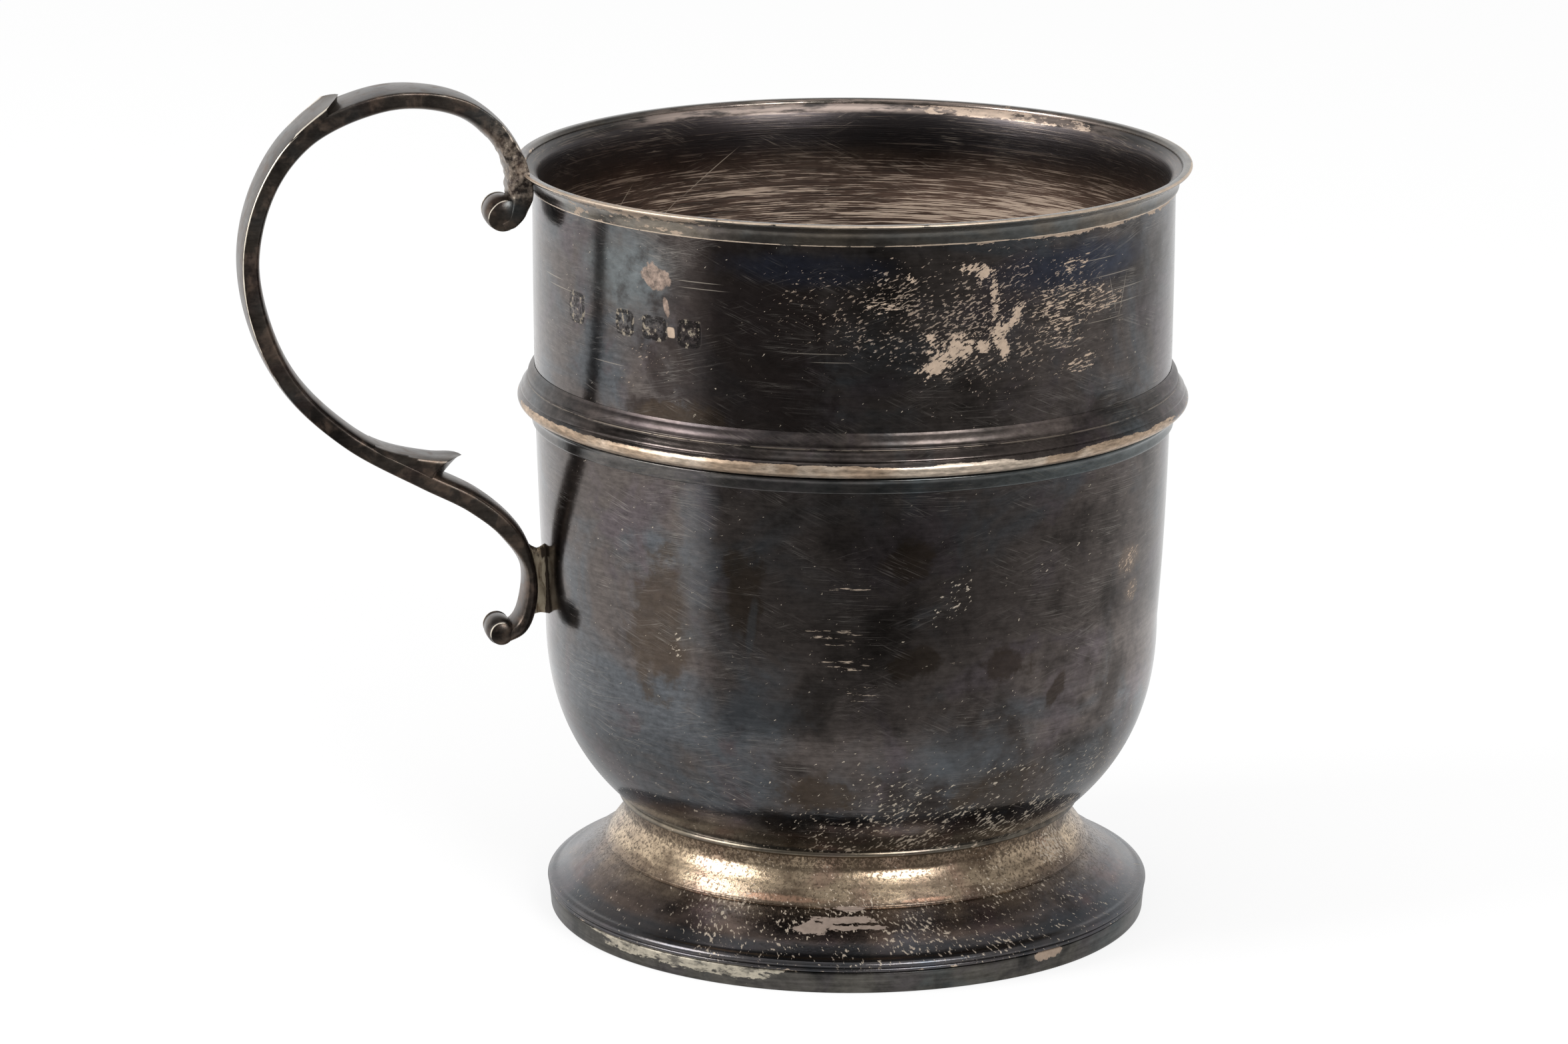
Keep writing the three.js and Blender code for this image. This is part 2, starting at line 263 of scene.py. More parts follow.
def vectorCalc(operation, *values):
    output = "Value" if operation in ("DOT_PRODUCT", "LENGTH") else "Vector"
    return read("ShaderNodeVectorMath", dict(enumerate(values)), output, operation=operation)


def stretched(place, factors):
    return vectorCalc("MULTIPLY", place, factors)


def parted(place):
    parts = allFrom(put(place.tree, "ShaderNodeSeparateXYZ", {0: place}))
    return parts["X"], parts["Y"], parts["Z"]


def joined(*parts):
    return read("ShaderNodeCombineXYZ", dict(enumerate(parts)))


def fade(value, low, high):
    # 0 below low, 1 above high and smooth between them; low may be the larger.
    inputs = {"Value": value, "From Min": low, "From Max": high}
    return read("ShaderNodeMapRange", inputs, "Result", interpolation_type="SMOOTHSTEP")


def mixed(share, first, second):
    return read("ShaderNodeMix", {0: share, 2: first, 3: second})


def blend(share, first, second, mode="MIX"):
    return read("ShaderNodeMix", {0: share, 6: first, 7: second}, 2, data_type="RGBA", blend_type=mode)


def shade(colour, level):
    # The colour, brighter or darker.
    grey = read("ShaderNodeCombineColor", {0: level, 1: level, 2: level})
    return blend(1.0, colour, grey, "MULTIPLY")


def cloud(place, stretch, detail=3.0, roughness=0.55, distortion=0.0):
    # Noise with features about 1 / stretch mm long in each direction.
    if isinstance(stretch, tuple):
        place = stretched(place, stretch)
        stretch = 1.0
    inputs = {"Vector": place, "Scale": stretch, "Detail": detail, "Roughness": roughness,
              "Distortion": distortion}
    return read("ShaderNodeTexNoise", inputs, "Fac")


def newGroup(name, inputs, outputs):
    # Each input has its kind of socket, or else the number that it starts with.
    tree = bpy.data.node_groups.new(name, "ShaderNodeTree")
    for title, start in inputs.items():
        kind = start if isinstance(start, str) else "Float"
        socket = tree.interface.new_socket(name=title, in_out="INPUT", socket_type=f"NodeSocket{kind}")
        if kind == "Float":
            socket.default_value = start
    for title, kind in outputs.items():
        tree.interface.new_socket(name=title, in_out="OUTPUT", socket_type=f"NodeSocket{kind}")
    return tree, allFrom(tree.nodes.new("NodeGroupInput")), tree.nodes.new("NodeGroupOutput").inputs


def use(group, inputs):
    return allFrom(put(treeOf(inputs), "ShaderNodeGroup", inputs, node_tree=group))


def mugPlaceGroup():
    # Object coordinates in metres become millimetres from the cup's axis, and a place on its wall.
    tree, given, wanted = newGroup("mug place", {"Position": "Vector"}, {
        "Spot": "Vector", "Wall": "Vector", "Angle": "Float", "Height": "Float", "Radius": "Float"})
    spot = vectorCalc("SUBTRACT", stretched(given["Position"], (1 / mm, 1 / mm, 1 / mm)), (axisX, 0, 0))
    x, y, z = parted(spot)
    turn = calc("ARCTAN2", x, y * -1.0)  # from -Y towards +X, with its seam behind
    feed(spot, wanted["Spot"])
    feed(joined(turn * wallRadius, z), wanted["Wall"])
    feed(calc("DEGREES", turn), wanted["Angle"])
    feed(z, wanted["Height"])
    feed(calc("SQRT", x ** 2.0 + y ** 2.0), wanted["Radius"])
    return tree


def wallSpotGroup():
    # An oval or squarish place on the wall: 1 in its middle, 0 at its edge and less outside it.
    tree, given, wanted = newGroup("wall spot", {
        "Angle": 0.0, "Height": 0.0, "Middle Angle": 0.0, "Middle Height": 0.0, "Half Width": 1.0,
        "Half Height": 1.0, "Lean": 0.0, "Squareness": 2.0}, {"Field": "Float"})
    mmPerDegree = wallRadius * math.pi / 180
    power = given["Squareness"]
    rise = given["Height"] - given["Middle Height"]
    aside = (given["Angle"] - given["Middle Angle"]) * mmPerDegree - rise * given["Lean"]
    wide = abs(aside / given["Half Width"]) ** power
    tall = abs(rise / given["Half Height"]) ** power
    feed(1.0 - (wide + tall) ** (1.0 / power), wanted["Field"])
    return tree


def flakingGroup():
    # Tarnish rubbed and flaked away, where wear is above 0: crisp, ragged, mostly level edges.
    tree, given, wanted = newGroup("flaking", {"Spot": "Vector", "Wear": 0.0}, {"Mask": "Float"})
    ragged = cloud(given["Spot"], (0.2, 0.2, 0.4), 4.0, 0.6, 0.4) * 2.2 - 1.1
    torn = cloud(given["Spot"], (0.6, 0.6, 1.9), 4.0, 0.68, 0.2) * 3.2 - 1.6
    feed(fade(given["Wear"] + ragged + torn, 0.1, 0.3), wanted["Mask"])
    return tree


def flecksGroup():
    # Short slanting flecks of bare metal, from none at density 0 to nearly all at 1.
    tree, given, wanted = newGroup("flecks", {"Wall": "Vector", "Density": 0.3, "Slope": 0.6},
                                   {"Mask": "Float"})
    x, y, _ = parted(given["Wall"])
    slanted = joined(x + y * given["Slope"], y - x * given["Slope"])
    grain = cloud(slanted, (1.25, 3.6, 1.0), 3.5, 0.6, 0.3)
    cut = read("ShaderNodeMapRange", {"Value": given["Density"], "To Min": 0.76, "To Max": 0.34}, "Result")
    feed(fade(grain - cut, 0.0, 0.035), wanted["Mask"])
    return tree


def hairScratchesGroup():
    # Fine scratches: mostly level, some leaning each way, in patches.
    tree, given, wanted = newGroup("hair scratches", {"Spot": "Vector", "Amount": 0.5}, {"Mask": "Float"})
    x, y, z = parted(given["Spot"])
    total = 0.0
    for lean, density, share in ((0.03, 4.2, 0.7), (0.5, 2.4, 0.5), (-0.35, 2.8, 0.45)):
        place = joined(x * 0.08, y * 0.08, (x * lean + z) * density)
        ridge = fade(abs(cloud(place, 1.0, 2.0, 0.5) - 0.5), 0.02, 0.0)
        patch = fade(cloud(given["Spot"], (0.13, 0.13 + lean * 0.1, 0.2), 2.0), 0.5, 0.68)
        total = most(total, ridge * patch * share)
    feed(total * given["Amount"], wanted["Mask"])
    return tree


filmColours = ("Brown", "Blue", "Purple", "Dark")


def tarnishGroup():
    # The tarnish film: four colours in soft clouds, with fine level streaks from polishing.
    tree, given, wanted = newGroup("tarnish film", {
        "Spot": "Vector", **{name: "Color" for name in filmColours},
        "Blueness": 0.0, "Darkness": 0.0, "Streaks": 0.5}, {"Color": "Color"})
    spot = given["Spot"]
    broad = cloud(spot, (0.06, 0.06, 0.08), 4.0, 0.6, 0.8)
    other = cloud(vectorCalc("ADD", spot, (40, 12, 7)), 0.1, 5.0, 0.6, 0.6)
    third = cloud(vectorCalc("ADD", spot, (-31, 5, 60)), 0.13, 5.0, 0.62, 0.3)
    lines = cloud(spot, (0.12, 0.12, 2.6), 4.0, 0.7) * 1.6 - 0.8
    mottled = cloud(spot, (0.9, 0.9, 1.6), 4.0, 0.7) * 1.3 + 0.35
    colour = blend(fade(broad + given["Blueness"], 0.46, 0.68), given["Brown"], given["Blue"])
    colour = blend(fade(other, 0.5, 0.66), colour, given["Purple"])
    colour = blend(fade(third + given["Darkness"], 0.46, 0.7), colour, given["Dark"])
    feed(shade(colour, mottled + lines * given["Streaks"]), wanted["Color"])
    return tree


def unevenToneGroup():
    # Small lighter and darker places in bare metal.
    tree, given, wanted = newGroup("uneven tone", {"Spot": "Vector"}, {"Level": "Float"})
    feed(cloud(given["Spot"], 1.3, 4.0, 0.7) * 0.9 + 0.55, wanted["Level"])
    return tree


def raggedEdgeGroup():
    # A field with its outline made ragged.
    tree, given, wanted = newGroup("ragged edge", {
        "Field": 0.0, "Spot": "Vector", "Rag": 1.0, "Stretch": 0.35}, {"Field": "Float"})
    torn = cloud(given["Spot"], given["Stretch"], 5.0, 0.65) - 0.5
    feed(given["Field"] + torn * given["Rag"], wanted["Field"])
    return tree


def rightSideGroup():
    # 0 at the low angle and 1 at the high one, and back to 0 behind the mug.
    tree, given, wanted = newGroup("right side", {"Angle": 0.0, "Low": 0.0, "High": 1.0}, {"Share": "Float"})
    turned = fade(given["Angle"], given["Low"], given["High"])
    feed(turned * fade(abs(given["Angle"]), 178, 125), wanted["Share"])
    return tree


def mouthGleamGroup():
    # A painted highlight on the mouth's far side, and the share of its right part.
    tree, given, wanted = newGroup("mouth gleam", {"Spot": "Vector", "Angle": 0.0},
                                   {"Mask": "Float", "Right": "Float"})
    right = fade(given["Angle"], 103, 130) * fade(given["Angle"], 162, 150)
    far = most(fade(abs(given["Angle"]), 140, 160), right)
    patches = fade(cloud(given["Spot"], (0.2, 0.2, 1.5), 4.0, 0.7), 0.34, 0.56)
    feed(far * patches, wanted["Mask"])
    feed(right, wanted["Right"])
    return tree


mugPlace = mugPlaceGroup()
wallSpot = wallSpotGroup()
flaking = flakingGroup()
flecks = flecksGroup()
hairScratches = hairScratchesGroup()
tarnishFilm = tarnishGroup()
unevenTone = unevenToneGroup()
raggedEdge = raggedEdgeGroup()
rightSide = rightSideGroup()
mouthGleam = mouthGleamGroup()
print("stage: shared finishes made")


# Finishes. Colours are linear. Angles are in degrees from the front (-Y) towards +X, heights in mm.
tan = (0.455, 0.35, 0.265)  # bare, dull metal
paleTan = (0.62, 0.50, 0.39)


def newFinish(name):
    material = bpy.data.materials.new(name)
    material.use_nodes = True
    position = allFrom(put(material.node_tree, "ShaderNodeTexCoord"))["Object"]
    return material, use(mugPlace, {"Position": position})


def finished(material, piece, film, roughness, layers, height, bumpName="bump"):
    # Each layer over the film is its name in the piece's dictionary, its mask and maybe its tone.
    # The height makes the bumps.
    tree = material.node_tree
    metal = 1.0
    for name, mask, *tone in layers:
        strength, colour, overMetal, overRoughness = piece[name]
        share = mask if strength == 1 else mask * strength
        film = blend(share, film, shade(colour, tone[0]) if tone else colour)
        metal = mixed(share, metal, overMetal)
        roughness = mixed(share, roughness, overRoughness)
    strength, depth = piece[bumpName]
    bump = put(tree, "ShaderNodeBump", {"Strength": strength, "Distance": depth * mm, "Height": height})
    surface = tree.nodes["Principled BSDF"].inputs
    feed(film, surface["Base Color"])
    feed(metal, surface["Metallic"])
    feed(roughness, surface["Roughness"])
    feed(allFrom(bump)["Normal"], surface["Normal"])
    return material


def filmOn(place, colours, blueness=0.0, darkness=0.0, streaks=0.5):
    return use(tarnishFilm, {
        "Spot": place["Spot"], **dict(zip(filmColours, colours)),
        "Blueness": blueness, "Darkness": darkness, "Streaks": streaks})["Color"]


def flaked(spot, wear):
    return use(flaking, {"Spot": spot, "Wear": wear})["Mask"]


def flecked(wall, density, slope=0.6):
    return use(flecks, {"Wall": wall, "Density": density, "Slope": slope})["Mask"]


def scratched(spot, amount):
    return use(hairScratches, {"Spot": spot, "Amount": amount})["Mask"]


def toneOf(spot):
    return use(unevenTone, {"Spot": spot})["Level"]


def rightOf(place, low, high):
    return use(rightSide, {"Angle": place["Angle"], "Low": low, "High": high})["Share"]


def gleamOf(place):
    made = use(mouthGleam, {"Spot": place["Spot"], "Angle": place["Angle"]})
    return made["Mask"], made["Right"]


def wallField(place, spots, squareness=2.0):
    # The highest of several places on the wall: (angle, height, half width, half height, lean).
    field = None
    for angle, height, wide, tall, lean in spots:
        one = use(wallSpot, {
            "Angle": place["Angle"], "Height": place["Height"], "Middle Angle": angle,
            "Middle Height": height, "Half Width": wide, "Half Height": tall, "Lean": lean,
            "Squareness": squareness})["Field"]
        field = one if field is None else most(field, one)
    return field


def raggedField(place, spots, rag, stretch=0.35):
    return use(raggedEdge, {"Field": wallField(place, spots), "Spot": place["Spot"], "Rag": rag,
                            "Stretch": stretch})["Field"]


# Cup
cup = {
    "wall": 0.8,
    "base": 6,
    "bowlTop": 34,
    "bowlPower": 2.35,
    "taper": 1.15,
    "rimBottom": 82.5,
    "flare": [(36.3, 84.75), (36.02, 84.8), (35.75, 84.7), (35.35, 84.5), (35.04, 84.2), (34.85, 83.85),
              (34.7, 83.2), (34.6, 82.3)],  # from the rim's seat over the lip and down inside
    "bump": (0.4, 0.05),  # strength, and depth in mm
    "insideBump": (0.4, 0.06),
    "insideRoughness": 0.34,
    "film": [(0.118, 0.1, 0.092), (0.104, 0.11, 0.118), (0.114, 0.096, 0.1), (0.055, 0.047, 0.043)],
    "insideFilm": [(0.12, 0.085, 0.066), (0.09, 0.075, 0.072), (0.11, 0.072, 0.06), (0.05, 0.036, 0.03)],
    "markLine": (0.018, 0.016, 0.016),
    # painted shade under the lip inside the cup
    "underLipShade": (0.06, 0.055, 0.058),
    "lip": (0.16, 0.142, 0.135),
    "gleam": (0.47, 0.38, 0.335),
    "hair": (1, (0.34, 0.31, 0.28), 0.85, 0.45),  # strength, colour, metallic, roughness
    "scratch": (0.6, (0.42, 0.37, 0.31), 0.7, 0.45),
    "inMark": (0.75, (0.4, 0.34, 0.26), 0.8, 0.5),
    "scuff": (0.8, paleTan, 0.7, 0.5),
    "knock": (0.85, (0.52, 0.45, 0.36), 0.5, 0.5),
    "edgeFleck": (1, tan, 0.5, 0.6),
    "rub": (1, tan, 0.5, 0.55),
    "dash": (0.66, tan, 0.5, 0.6),
    "worn": (1, tan, 0.45, 0.6),
    "dabbed": (1, tan, 0.5, 0.6),
    "coppery": (0.85, (0.3, 0.22, 0.175), 0.55, 0.5),
    "insideBrown": (1, (0.088, 0.054, 0.039), 0.35, 0.5),
    "insideStreak": (1, (0.7, 0.55, 0.43), 0.4, 0.55),
    "insideScratch": (0.75, (0.46, 0.38, 0.3), 0.5, 0.5),
    "insideHair": (1, (0.36, 0.3, 0.24), 0.6, 0.5),
    "insideBare": (1, (0.74, 0.58, 0.46), 0.65, 0.4),
    "washes": [  # soft stains: which places, how strong, colour, where it fades in, how ragged
        ("paleBlue", 0.75, (0.175, 0.198, 0.205), -0.3, 0.7, 1.4),
        ("umber", 0.85, (0.046, 0.036, 0.033), -0.2, 0.45, 2.1),
        ("navy", 0.75, (0.05, 0.058, 0.088), 0.0, 0.6, 0.6),
        ("stains", 0.7, (0.072, 0.053, 0.038), -0.1, 0.35, 2.1),
        ("bluish", 0.42, (0.15, 0.165, 0.18), -0.2, 0.6, 2.0),
        ("edgeTan", 0.8, (0.2, 0.155, 0.125), -0.3, 0.5, 1.6),
    ],
    # Places: (angle, height, half width, half height, lean)
    "bare": [
        (8.5, 80, 2.0, 0.6, 0.2), (10.6, 79.4, 1.2, 1.0, 0), (12.2, 77.4, 0.42, 1.7, 0),
        (12.6, 75.5, 0.55, 1.3, 0), (13.5, 73.3, 1.8, 1.2, 0), (16.3, 74.3, 0.9, 1.8, 0.4),
        (14, 71, 0.9, 2.1, 0), (9.5, 71.6, 2.2, 0.7, 0.3), (5.0, 71.2, 2.8, 1.8, 0.5),
        (2.4, 69.5, 2.3, 1.0, 0.4), (1, 72.8, 0.9, 0.8, 0), (-2.5, 79.2, 1.1, 0.5, 0.2),
    ],
    "rubbed": [
        (-7, 76.5, 1.8, 0.8, 0.3), (27, 76.2, 5.0, 1.0, 0.3), (24, 74.8, 3.0, 1.2, 0),
        (29.5, 79.3, 1.6, 0.8, 0.3), (26, 73.0, 3.2, 1.1, 0.3), (26.7, 71.0, 2.2, 0.9, 0),
        (30, 68.3, 2.4, 1.0, 0.5), (34, 74.6, 5.0, 1.3, 0.3),
    ],
    "speckled": [(15, 74, 18, 10.5, 0.3), (-6, 75.5, 10, 7.5, 0)],
    "sparse": [(-17, 76, 10, 8, 0), (34, 73, 8, 10, 0), (-52, 68, 6, 5, 0)],
    "copper": [(-48.6, 77.9, 2.2, 1.7, -0.3), (-46.4, 74.9, 0.45, 1.3, -0.2)],
    "dab": [(-45.4, 72.2, 0.5, 0.62, -0.1)],
    "paleBlue": [(-54, 78.0, 8.0, 5.0, 0.0)],
    "umber": [(-34, 72, 11.5, 18, 0), (-48, 67.5, 2.2, 4.2, -0.5), (-50.5, 63.5, 4.0, 1.8, 0)],
    "navy": [(-20, 80.2, 12, 2.4, 0), (30, 79, 14, 3.4, 0)],
    "stains": [
        (-48.5, 40, 5.0, 9.0, 0.15), (-33, 47.8, 1.5, 2.2, 0), (-31.6, 44.5, 2.2, 5.0, 0.1),
        (-2.3, 48.6, 3.0, 2.6, 0), (-1.5, 36.9, 3.4, 2.0, 0.3), (16.5, 36.2, 3.4, 2.1, -0.4),
        (28, 32.7, 1.2, 2.4, 0.5), (-20, 22, 5, 2.4, 0), (17, 21, 6.5, 3.6, 0), (-44, 62.8, 7, 2.2, 0),
    ],
    "bluish": [(-27.2, 31.0, 5.0, 2.2, -0.3), (-30.5, 40, 0.5, 4.5, 0.15), (-40.5, 49, 2.6, 12, 0.04),
               (8, 26, 9, 4, 0)],
    "scuffs": [(-15, 40.2, 3.4, 1.5, 0), (-14, 37.4, 4.4, 1.3, 0), (-11, 34, 3.0, 1.3, 0),
               (-13, 45.6, 3.0, 0.8, 0)],
    "chips": [(6.5, 44.5, 2.6, 4.2, 0.3), (2.5, 42, 1.4, 1.6, 0), (-45, 37.5, 1.8, 2.4, 0),
              (24, 46, 1.5, 1.2, 0)],
    "edgeTan": [(47.5, 44.6, 2.6, 1.7, 0), (49.5, 40.8, 1.7, 1.4, 0)],
    "longScratches": [
        (-40, 78.0, 3.4, 0.07, 0), (-39, 77.3, 3.6, 0.06, 0), (-79, 75.0, 3.2, 0.08, 0),
        (-76, 74.1, 3.8, 0.07, 0), (-60, 67.6, 3.2, 0.06, 0), (-19, 71.2, 4.0, 0.06, 0),
        (-16, 70.3, 3.0, 0.06, 0), (39, 77.2, 4.4, 0.07, 0), (43, 75.4, 4.6, 0.06, 0),
        (41, 73.9, 5.0, 0.07, 0), (37, 72.4, 4.2, 0.06, 0), (39, 75.0, 0.07, 2.6, -0.3),
        (42, 74.6, 0.07, 3.0, 0.3), (35, 79.2, 3.6, 0.06, 0),
    ],
    "insideScratches": [(-163.6, 77.7, 0.12, 3.1, -1.44), (-154.4, 73.9, 0.1, 1.6, -1.35),
                        (-142.3, 75.5, 0.1, 2.4, -0.98)],
    "marks": [(-69.5, 72.6, 1.5, 1.6, 0), (-55.8, 72.4, 1.25, 1.3, 0), (-49, 72.4, 1.55, 1.25, 0),
              (-41.7, 72.3, 1.35, 1.4, 0)],  # blank, worn punch outlines
}


def cupRadiusAt(height):
    depth = (cup["rimBottom"] - height) / (cup["rimBottom"] - cup["bowlTop"])
    return wallRadius - cup["taper"] * max(depth, 0) ** 3


def bowlLine(inset):
    # From the axis to bowlTop, on the outside or that far inside it.
    power = 2 / cup["bowlPower"]
    radius = wallRadius - cup["taper"] - inset
    depth = cup["bowlTop"] - cup["base"] - inset
    turns = [math.pi / 2 * share for share in spread(60)]
    return [
        (radius * math.sin(turn) ** power, cup["bowlTop"] - depth * max(math.cos(turn), 0) ** power)
        for turn in turns
    ]


def wallLine(inset):
    heights = [lerp(cup["bowlTop"], cup["rimBottom"], share) for share in spread(50)]
    return [(cupRadiusAt(height) - inset, height) for height in heights]


def cupShell():
    outside = bowlLine(0) + wallLine(0)[1:]
    flare = flowing(cup["flare"], 5)
    rimSeat = [outside[-1], (35.5, 83.3), (36.2, 84.6), flare[0]]
    inside = [flare[-1]] + list(reversed(bowlLine(cup["wall"]) + wallLine(cup["wall"])[1:-1]))
    return turned([(outside, 0), (rimSeat, 0), (flare, 1), (inside, 1)])


def cupOutsideFinish():
    material, place = newFinish("cup outside, heavy tarnish")
    spot, wall, level, angle = place["Spot"], place["Wall"], place["Height"], place["Angle"]
    left = fade(angle, -15, -55) * fade(angle, -178, -125)  # the handle's side is lighter
    blueness = fade(level, 30, 80) * 0.03 + fade(level, 38, 22) * 0.12
    film = filmOn(place, cup["film"], blueness, fade(level, 60, 30) * 0.03 - left * 0.14, 0.6)
    # Painted sheen: a lighter belt low on the wall in front
    sheenBelt = fade(level, 41, 34) * fade(level, 24, 29) * rightOf(place, -42, -24)  # a belt low in front
    film = shade(film, sheenBelt * 0.75 + 1.0)
    mottled = cloud(spot, (0.7, 0.7, 1.2), 5.0, 0.72) * 1.5 + 0.25
    for name, strength, colour, low, high, rag in cup["washes"]:
        share = fade(raggedField(place, cup[name], rag), low, high) * strength
        film = blend(share, film, shade(colour, mottled))

    # Bare metal: solid patches, longer rubbed flecks, dashes round them and rubs under the rim
    bare = fade(raggedField(place, cup["bare"], 3.4, 0.95), -0.65, 1.0)
    rubbed = fade(raggedField(place, cup["rubbed"], 2.4, 0.6), -1.0, 0.6) * 0.56
    worn = most(flecked(wall, bare), flecked(stretched(wall, (0.62, 1.15, 1.0)), rubbed, 0.25))
    around = fade(raggedField(place, cup["speckled"], 0.8), -0.25, 0.7)
    around = most(around, fade(raggedField(place, cup["sparse"], 0.8), -0.25, 0.7) * 0.66)
    patchy = fade(cloud(spot, 0.22, 3.0), 0.32, 0.62)
    dashes = flecked(wall, around * (patchy * 0.22 + 0.3), 0.45)
    nearRim = level - (82.25 - rightOf(place, 5, 30) * 0.3)
    rubs = flaked(spot, nearRim * 1.9 + (rightOf(place, -30, 15) * 0.95 - 1.72))
    copper = fade(raggedField(place, cup["copper"], 1.1, 0.6), 0.1, 0.22)
    dab = fade(wallField(place, cup["dab"], 5.0), 0.0, 0.15)

    # Knocks, most of them low down and to the right, then scuffs and scratches
    bottom = fade(level, 32, 13) * (rightOf(place, -48, 8) * 0.62 + 0.38)
    bottom = bottom * (fade(cloud(spot, 0.2, 3.0), 0.42, 0.66) * 0.6 + 0.5)
    chipped = most(bottom * 0.44 + 0.16, fade(wallField(place, cup["chips"]), -0.3, 0.6) * 0.4)
    knocks = flecked(stretched(wall, (1.0, 0.72, 1.0)), chipped, 0.35)
    scuffed = fade(raggedField(place, cup["scuffs"], 0.8), -0.3, 0.6) * 0.15
    scuffs = fade(cloud(spot, (0.3, 0.3, 2.8), 5.0, 0.72) + scuffed, 0.71, 0.735)
    edgeTan = flecked(wall, fade(raggedField(place, cup["edgeTan"], 2.4, 0.7), -0.4, 0.7) * 0.55)
    scratches = fade(wallField(place, cup["longScratches"]), 0.0, 0.5)

    # Blank punch outlines: a dark line with gaps, a dark dimple and a little bare metal
    mark = wallField(place, cup["marks"], 5.0)
    markNoise = cloud(spot, 1.4, 4.0, 0.65)
    outline = fade(mark, -0.12, 0.0) * fade(mark, 0.34, 0.18) * fade(markNoise, 0.34, 0.46)
    outline = most(outline, fade(mark, 0.2, 0.3) * fade(markNoise, 0.5, 0.4))
    inMark = fade(mark, -0.2, 0.0) * fade(markNoise, 0.55, 0.61)
    film = blend(outline * 0.85, film, cup["markLine"])

    tone = toneOf(spot)
    copperTone = cloud(spot, 1.7, 4.0, 0.75) * 3.4 - 0.75
    lowered = most(most(worn, dashes), outline)  # where the bumps sink
    return finished(material, cup, film, cloud(spot, 0.12, 4.0, 0.6) * 0.14 + 0.09, [
        ("hair", scratched(spot, 0.8)), ("scratch", scratches), ("inMark", inMark), ("scuff", scuffs),
        ("knock", knocks, tone), ("edgeFleck", edgeTan, tone), ("rub", rubs, tone), ("dash", dashes, tone),
        ("worn", worn, tone), ("dabbed", dab, tone), ("coppery", copper, copperTone),
    ], cloud(spot, (0.3, 0.3, 1.1), 3.0, 0.6) - lowered * 0.5)


def cupInsideFinish():
    material, place = newFinish("cup inside, brown tarnish")
    spot, level, angle = place["Spot"], place["Height"], place["Angle"]
    turn = abs(angle)
    offBottom = fade(level, 16, 30)  # the flat bottom has no streaks
    film = filmOn(place, cup["insideFilm"], -0.03, 0.0, offBottom)
    lower = fade(level, 81, 73)
    rightPart = fade(angle, 72, 105) * fade(angle, 172, 140)
    reach = lower * (most(fade(turn, 95, 165), rightPart) * 0.75 + 0.25)  # strongest on the far side
    streak = mixed(offBottom, 0.5, cloud(spot, (0.17, 0.17, 8.0), 3.5, 0.6))
    broad = cloud(spot, (0.07, 0.07, 1.2), 4.0, 0.6) * 0.5 + streak
    streaks = fade(broad + reach * (rightPart * 0.06 + 0.06), 0.85, 0.89)
    # Painted shade: darker inside near the mouth
    film = shade(film, 1.0 - fade(level, 83, 81) * fade(level, 70, 80) * 0.45)  # darker near the mouth
    # Painted shade: a dark band inside the cup just under the lip
    underLipShade = fade(level, 78.5, 81.5) * fade(level, 84.35, 84.0)
    film = blend(underLipShade * 0.85, film, cup["underLipShade"])
    aside = fade(turn, 78, 95) * fade(turn, 160, 145)  # both sides of the far middle
    film = blend(fade(level, 84.0, 84.35), film, shade(cup["lip"], 1.0 - aside * 0.68))
    # Painted highlight on the mouth's far side
    gleam, farRight = gleamOf(place)
    gleamTone = shade(cup["gleam"], 1.75 - farRight * 0.7)
    film = blend(gleam * fade(level, 83.8, 84.3) * 0.85, film, gleamTone)
    rubbed = flaked(spot, fade(level, 83.7, 84.1) * 1.7 - 2.3 + farRight * 0.9)
    bareTone = cloud(spot, (0.5, 0.5, 2.5), 4.0, 0.7) * 1.2 + 0.4
    scratches = fade(wallField(place, cup["insideScratches"]), 0.0, 0.5)
    return finished(material, cup, film, cup["insideRoughness"], [
        ("insideBrown", lower, streak * 4.6 + (rightPart * 0.8 - 1.3)),
        ("insideStreak", streaks * (reach * 0.75 + 0.12)),
        ("insideScratch", scratches), ("insideHair", scratched(spot, 0.9)), ("insideBare", rubbed, bareTone),
    ], streak, "insideBump")


makePiece("cup", [cupShell()], [cupOutsideFinish(), cupInsideFinish()], "body_shell")


# Rim moulding: a hollow band whose top rolls over the lip
rim = {
    "edge": [(35.35, 82.76), (35.72, 82.76), (35.76, 82.88)],
    "hollow": [(35.76, 82.88), (35.8, 83.1), (35.82, 83.4), (35.97, 83.85), (36.3, 84.35), (36.8, 84.72),
               (37.08, 84.9)],
    "lip": [(37.08, 84.9), (37.2, 85.02), (37.2, 85.2), (37.05, 85.3), (36.5, 85.3), (36.2, 85.2),
            (36.05, 84.98), (36.03, 84.78)],
    "back": [(36.03, 84.78), (36.3, 84.5), (35.6, 83.5), (35.35, 82.95), (35.35, 82.76)],
    "bump": (0.3, 0.04),
    "film": [(0.2, 0.172, 0.14), (0.165, 0.17, 0.165), (0.19, 0.162, 0.155), (0.1, 0.088, 0.078)],
    "roughness": 0.24,
    "dull": (0.06, 0.055, 0.05),
    "gleam": (0.44, 0.355, 0.31),
    "hair": (1, (0.3, 0.27, 0.22), 0.9, 0.45),
    "rubbed": (0.9, tan, 0.6, 0.5),
    "line": (1, paleTan, 0.75, 0.4),
}


def rimShell():
    return turned([(rounded(rim["edge"], 0.06), 0), (flowing(rim["hollow"], 5), 0),
                   (rounded(rim["lip"], 0.12), 0), (rim["back"], 0)])


